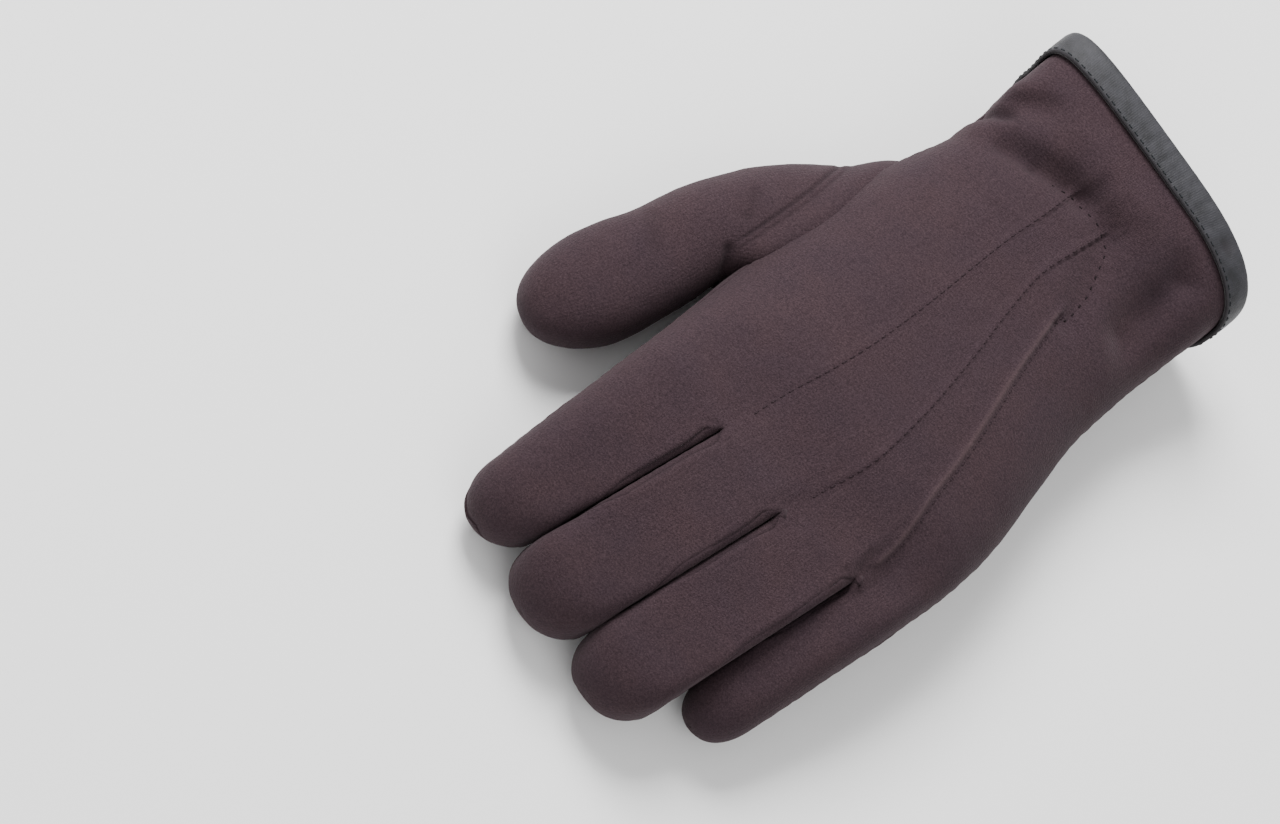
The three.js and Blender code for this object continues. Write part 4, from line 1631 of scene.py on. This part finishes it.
@dataclass
class FingerStrips:
    """The strips between the fingers, each down one finger, round the web and up the next."""

    form: GloveForm
    relief: Relief
    levels: int = 15
    wall_rows: int = 76
    turn_rows: int = 14

    def wall(self, slit: int, finger: int, along: Array, level: Array) -> Array:
        """A point on the strip's wall along one finger.

        Args:
            slit: 1 beside the little finger to 3 beside the index finger.
            finger: The finger that the wall lies along.
            along: The place along the finger, from root to tip.
            level: From -1 underneath to 1 on top.

        Returns:
            The points.
        """
        form = self.form
        share = form.strip_share(along) + form.seam_lap / 2 / form.finger_half(finger, along)
        bend = form.finger_bend(finger, finger != slit, along)
        drop = form.tip_drop(along)
        upper = form.strip_edge(share, drop, Side.BACK)
        lower = -form.strip_edge(share, drop, Side.PALM)
        turn = angle_at_height(mix(lower, upper, (level + 1) / 2), bend)
        angle = math.pi - turn if finger == slit else turn
        return form.finger_point(finger, angle, np.array(float(slit)), along, 0.0)

    def surface(self, slit: int) -> Surface:
        """A whole strip: the first wall, a half turn behind the slit, and the second wall.

        The sewn edges of both walls are drawn together near the web, as the panels are.

        Args:
            slit: 1 beside the little finger to 3 beside the index finger.

        Returns:
            The strip's surface.
        """
        level = np.linspace(-1.0, 1.0, self.levels)[None, :]
        along = (self.form.strip_ends - 0.03) * (np.linspace(1.0, 0.0, self.wall_rows) ** 1.1)[:, None]
        down = self.wall(slit, slit - 1, along, level)
        up = self.wall(slit, slit, along[::-1], level)
        shut = 1 - smooth(0.0, self.form.slit_opens, along)
        drawn = (shut * smooth(0.5, 1.0, np.abs(level)))[..., None]
        middle = (down + up[::-1]) / 2
        down = mix(down, middle, drawn)
        up = mix(up, middle[::-1], drawn[::-1])
        share = np.linspace(0.0, 1.0, self.turn_rows + 2)[1:-1, None]
        start, end = down[-1:], up[:1]
        x = mix(start[..., 0], end[..., 0], 0.5 - 0.5 * np.cos(share * math.pi))
        y = start[..., 1] - (end[..., 0] - start[..., 0]) / 2 * np.sin(share * math.pi)
        z = mix(start[..., 2], end[..., 2], share)
        points = np.concatenate([down, stacked(x, y, z), up])
        rows = np.arange(len(points))[:, None]
        measures = {
            "u": 8.0 * level + 0.0 * rows,
            "v": 0.9 * rows + 0.0 * level,
            "edge": np.abs(1 - np.abs(level)) * 8.0 + 0.0 * rows,
        }
        made = Surface.join([(points, measures)], flip=False)
        height = self.relief.seams(made.measures.pop("edge"), made.points)
        # Painted shade along the strip's sewn edges
        painted_shade_and_wear_measures(made, height)
        made.push(height)
        return made


@dataclass
class CuffBinding:
    """The tape folded over the cuff's edge.

    Attributes:
        join, join_width, join_depth: Where the tape's ends are joined in plan, and how wide and
            how deep they dip there.
        waves: Height and length of its waves between stitches.
        upper: Height over which the tape belongs to the cuff's upper side.
        clear: Height over which the tape is clear of the table.
        columns, leg_rows, fold_rows: Points across a finger, down each leg and round the fold.
    """

    form: GloveForm
    join: tuple[float, float] = (-20.5, -110.0)
    join_width: float = 2.4
    join_depth: float = 0.7
    waves: tuple[tuple[float, float], ...] = ((0.03, 5.2), (0.02, 3.1))
    upper: float = 20.0
    clear: float = 4.0
    columns: int = 44
    leg_rows: int = 9
    fold_rows: int = 9

    def profile(self) -> tuple[Array, Array, Array]:
        """The tape's outer line from its outer edge over the fold to its inner edge.

        Returns:
            For each point of the line its place along the hand, its reach beyond the cuff's edge
            and its inset.
        """
        form = self.form
        end = form.tape_width / form.palm_length
        outside = -form.tape_clearance - form.tape_thickness
        inside = form.cloth + form.tape_clearance + form.tape_thickness
        leg = np.linspace(1.0, 0.0, self.leg_rows)
        turn = np.linspace(0.0, math.pi, self.fold_rows + 2)[1:-1]
        along = np.concatenate([end * leg, 0.0 * turn, end * leg[::-1]])
        beyond = np.concatenate([0.0 * leg, outside * np.sin(turn) ** 0.7, 0.0 * leg])
        swell = 0.12 * np.sin(leg * math.pi)
        bent = mix(outside, inside, 0.5 - 0.5 * np.cos(turn))
        inset = np.concatenate([outside - swell, bent, inside + swell[::-1]])
        return along, beyond, inset

    def surface(self) -> Surface:
        """The whole tape: its folded line carried round the cuff.

        Returns:
            The tape's surface.
        """
        along, beyond, inset = self.profile()
        even = np.linspace(0.0, 1.0, self.columns)[:-1, None]
        rows = []
        for side, finger in product((Side.BACK, Side.PALM), range(4)):
            number, column = (finger, even) if side is Side.BACK else (3 - finger, 1 - even)
            rows.append(self.form.closed_point(number, column, along[None, :], side, inset[None, :]))
        points = np.concatenate(rows)
        points[..., 1] += beyond
        run = run_along(points[:, 0])[:, None]
        wave = sum(high * np.sin(run * 2 * math.pi / length) for high, length in self.waves)
        points[..., 2] = np.maximum(points[..., 2] + wave * (points[..., 2] > self.clear), 0.0)
        away = np.hypot(points[..., 0] - self.join[0], points[..., 1] - self.join[1])
        join = (points[..., 2] > self.upper) * bell(away, self.join_width)
        points[..., 2] -= self.join_depth * join
        place = np.linspace(-1.0, 1.0, len(along))[None, :]
        measures = {
            "u": run + 0.0 * place,
            "v": 10.0 * place + 0.0 * run,
            # Painted shade at the tape's two edges and in the dip of its join
            "hollow": np.maximum(smooth(0.92, 1.0, np.abs(place)), join),
            "ridge": 0.8 * bell(np.abs(place) - 0.45, 0.2) + 0.0 * run,
        }
        grid = np.swapaxes(points, 0, 1)
        turned = {name: values.T for name, values in measures.items()}
        return Surface.join([(grid, turned)], flip=True, wrap=True)


@dataclass(frozen=True)
class StitchRow:
    """A row of stitches along a path on the cloth.

    Attributes:
        pitch: From one stitch to the next.
        length: Of one stitch.
        radius: Of the thread.
        lift: How high the middle of a stitch stands over the cloth.
        rings, sides: Points along a stitch and round it.
    """

    pitch: float = 2.9
    length: float = 2.2
    radius: float = 0.24
    lift: float = 0.12
    rings: int = 6
    sides: int = 6

    def surface(self, path: Array, normals: Array) -> Surface:
        """Threads that rise from the cloth and dip back into it.

        A stitch is a tube round a shallow arc: at the share s from -1 to 1 its middle line stands
        at lift (1 - 2 s^2) over the path, and its radius is radius (1 - s^6)^(1/2).

        Args:
            path: Points of the seam in order, shape (n, 3).
            normals: The cloth's normals there.

        Returns:
            All stitches of the row as one surface.
        """
        run = run_along(path)
        centres = np.arange(self.pitch / 2, run[-1] - self.pitch / 2, self.pitch)
        share = np.linspace(-1.0, 1.0, self.rings)
        at = centres[:, None] + share[None, :] * self.length / 2
        place = np.stack([np.interp(at, run, path[:, k]) for k in range(3)], axis=-1)
        up = np.stack([np.interp(at, run, normals[:, k]) for k in range(3)], axis=-1)
        up /= np.linalg.norm(up, axis=-1, keepdims=True)
        ahead = np.gradient(place, axis=1)
        ahead /= np.maximum(np.linalg.norm(ahead, axis=-1, keepdims=True), TINY)
        aside = np.cross(ahead, up)
        middle = place + up * (self.lift * (1 - 2 * share**2))[None, :, None]
        angle = 2 * math.pi * np.arange(self.sides) / self.sides
        round_off = self.radius * np.sqrt(np.maximum(0.0, 1 - share**6))[None, :, None, None]
        ring = np.cos(angle)[:, None] * aside[:, :, None] + np.sin(angle)[:, None] * up[:, :, None]
        points = middle[:, :, None] + round_off * ring
        points[..., 2] = np.maximum(points[..., 2], 0.0)
        turn = np.broadcast_to(angle / (2 * math.pi), points.shape[1:3])
        down = np.broadcast_to((share * self.length * 3.0)[:, None], points.shape[1:3])
        grids = [(stitch, {"u": turn, "v": down}) for stitch in points]
        return Surface.join(grids, flip=False, wrap=True)


@dataclass
class WorkGlove:
    """The whole glove: its cloth pieces, its tape and its stitching."""

    form: GloveForm = field(default_factory=GloveForm)
    relief: Relief = field(default_factory=Relief)

    def build(self) -> None:
        """Builds every piece and dresses it."""
        groups = NodeGroups()
        cotton = NappedCotton("napped_cotton").material(groups)
        tape = WovenTape("slate_tape").material(groups)
        brown = SewingThread("brown_thread", BROWN_DARK, BROWN_LIGHT)
        slate = SewingThread("dark_thread", (0.006, 0.007, 0.008, 1.0), (0.04, 0.045, 0.05, 1.0))
        shirring = SewingThread("shirring_thread", (0.005, 0.003, 0.004, 1.0), (0.016, 0.010, 0.012, 1.0))
        panels = HandPanels(self.form, self.relief)
        back = panels.surface(Side.BACK)
        self.cloth_piece(back, "glove_back", cotton, "back_panel")
        self.cloth_piece(panels.surface(Side.PALM), "glove_palm", cotton, "palm_panel")
        self.cloth_piece(ThumbSleeve(self.form, self.relief).surface(), "glove_thumb", cotton, "thumb")
        strips = FingerStrips(self.form, self.relief)
        for slit, node in ((1, "ring_little"), (2, "middle_ring"), (3, "index_middle")):
            self.cloth_piece(strips.surface(slit), node + "_strip", cotton, node + "_fourchette")
        binding = CuffBinding(self.form).surface()
        piece = add_piece(binding.mesh("cuff_tape"), tape, "black_tape", "cuff_binding")
        thicken(piece, self.form.tape_thickness)
        self.tuck_stitches(back, brown.material(groups))
        self.gather_stitches(back, shirring.material(groups))
        self.tape_stitches(binding, slate.material(groups))

    def cloth_piece(self, surface: Surface, name: str, finish: bpy.types.Material, node: str) -> None:
        """Adds a cloth piece with its wall."""
        piece = add_piece(surface.mesh(name), finish, "brown_cotton", node)
        thicken(piece, self.form.cloth)

    def tuck_stitches(self, back: Surface, finish: bpy.types.Material) -> None:
        """Sews the three tucks, each along the groove beside its ridge.

        Args:
            back: The back panel.
            finish: The thread's material.
        """
        normals = back.normals()
        along = HandPanels(self.form, self.relief).places()
        for tuck in TUCKS.records():
            grid = back.grids[int(tuck["line"]) - 1][: len(along)]
            held = (along > tuck["start"] + 0.02) & (along < tuck["end"] - 0.01)
            index = grid[held, -4]
            path, up = back.points[index], normals[index]
            surface = StitchRow(radius=0.18, lift=0.05).surface(path, up)
            add_piece(surface.mesh(f"tuck_stitches_{int(tuck['line'])}"), finish, "brown_cotton")

    def gather_stitches(self, back: Surface, finish: bpy.types.Material) -> None:
        """Sews the shirring, with the height of each place taken from the nearest point of the back.

        Args:
            back: The back panel.
            finish: The thread's material.
        """
        stops = np.array(GATHER_LINE)
        run = run_along(stops)
        at = np.arange(0.0, run[-1], 0.8)
        x, y = (np.interp(at, run, stops[:, k]) for k in range(2))
        apart = np.hypot(back.points[:, :1] - x, back.points[:, 1:2] - y)
        near = np.argmin(apart + 100.0 * (back.points[:, 2:] < 20.0), axis=0)
        path = stacked(x, y, back.points[near, 2])
        row = StitchRow(pitch=3.3, length=1.2, radius=0.26, lift=0.0)
        add_piece(row.surface(path, back.normals()[near]).mesh("gather_stitches"), finish, "brown_cotton")

    def tape_stitches(self, binding: Surface, finish: bpy.types.Material) -> None:
        """Sews the tape near its edge, all round the cuff.

        Args:
            binding: The tape.
            finish: The thread's material.
        """
        normals = binding.normals()
        index = binding.grids[0][1]
        path, up = binding.points[index], normals[index]
        row = StitchRow(pitch=2.6, length=1.9, radius=0.2, lift=0.06)
        add_piece(row.surface(path, up).mesh("tape_stitches"), finish, "black_tape")


@dataclass(frozen=True)
class Studio:
    """A plain pale floor, soft light, and the camera at the photograph's angle.

    Attributes:
        tilt: Angle of the view from straight above, towards the fingertips, in degrees.
        across: How much of the object's x, and of the tilted y, the picture's width runs along.
        middle: The point at the middle of the picture, in metres.
        width: How much the picture's width takes in there, in metres.
        distance: From the camera to that point, in metres.
        sensor: Width of the camera's sensor, in millimetres.
        floor_half, floor_drop: Half the floor's width, and how far it lies under the glove, in metres.
        sky: Strength of the sky.
    """

    tilt: float = 28.0
    across: tuple[float, float] = (-0.586, -0.81)
    middle: tuple[float, float, float] = (0.0368, 0.0539, 0.020)
    width: float = 0.3456
    distance: float = 9.0
    sensor: float = 36.0
    floor_half: float = 6.0
    floor_drop: float = 0.0004
    sky: float = 0.7

    def build(self) -> None:
        """Makes the floor, the lights, the sky and the camera."""
        self.floor()
        self.lights()
        self.camera()

    def floor(self) -> None:
        """A wide pale sheet just under the glove."""
        mesh = bpy.data.meshes.new("floor")
        signs = ((-1, -1), (1, -1), (1, 1), (-1, 1))
        corners = [(x * self.floor_half, y * self.floor_half, -self.floor_drop) for x, y in signs]
        mesh.from_pydata(corners, [], [(0, 1, 2, 3)])
        made = bpy.data.materials.new("pale_floor")
        made.use_nodes = True
        shader = made.node_tree.nodes["Principled BSDF"]
        shader.inputs["Base Color"].default_value = (0.9, 0.9, 0.9, 1.0)
        shader.inputs["Roughness"].default_value = 0.9
        mesh.materials.append(made)
        floor = bpy.data.objects.new("floor", mesh)
        bpy.context.scene.collection.objects.link(floor)

    def lights(self) -> None:
        """A large key light over the thumb's side of the cuff, a soft fill opposite, and a pale sky."""
        for number, lamp in enumerate(LAMPS.records()):
            light = bpy.data.lights.new(f"soft_light_{number}", "AREA")
            light.size = lamp["size"]
            light.energy = lamp["watts"]
            made = bpy.data.objects.new(light.name, light)
            place = Vector((lamp["x"], lamp["y"], lamp["z"]))
            made.matrix_world = Matrix.Translation(place) @ place.to_track_quat("Z", "Y").to_matrix().to_4x4()
            bpy.context.scene.collection.objects.link(made)
        world = bpy.data.worlds.new("pale_sky")
        world.use_nodes = True
        background = world.node_tree.nodes["Background"]
        background.inputs["Color"].default_value = (1.0, 1.0, 1.0, 1.0)
        background.inputs["Strength"].default_value = self.sky
        bpy.context.scene.world = world

    def camera(self) -> None:
        """The camera, with its axes worked out from the view's tilt and turn."""
        tilt = math.radians(self.tilt)
        back = Vector((0.0, math.sin(tilt), math.cos(tilt)))
        across_x = Vector((1.0, 0.0, 0.0))
        across_y = Vector((0.0, math.cos(tilt), -math.sin(tilt)))
        right = (across_x * self.across[0] + across_y * self.across[1]).normalized()
        up = back.cross(right)
        lens = bpy.data.cameras.new("camera")
        lens.sensor_width = self.sensor
        lens.lens = self.sensor * self.distance / self.width
        lens.clip_end = 50.0
        camera = bpy.data.objects.new("camera", lens)
        axes = Matrix((right, up, back)).transposed().to_4x4()
        camera.matrix_world = Matrix.Translation(Vector(self.middle) + back * self.distance) @ axes
        bpy.context.scene.collection.objects.link(camera)
        bpy.context.scene.camera = camera


def main() -> None:
    """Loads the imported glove, dresses it and sets the stage."""
    logging.basicConfig(level=logging.INFO, format="%(name)s: %(message)s")
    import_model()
    WorkGlove().build()
    Studio().build()


if __name__ == "__main__":
    main()
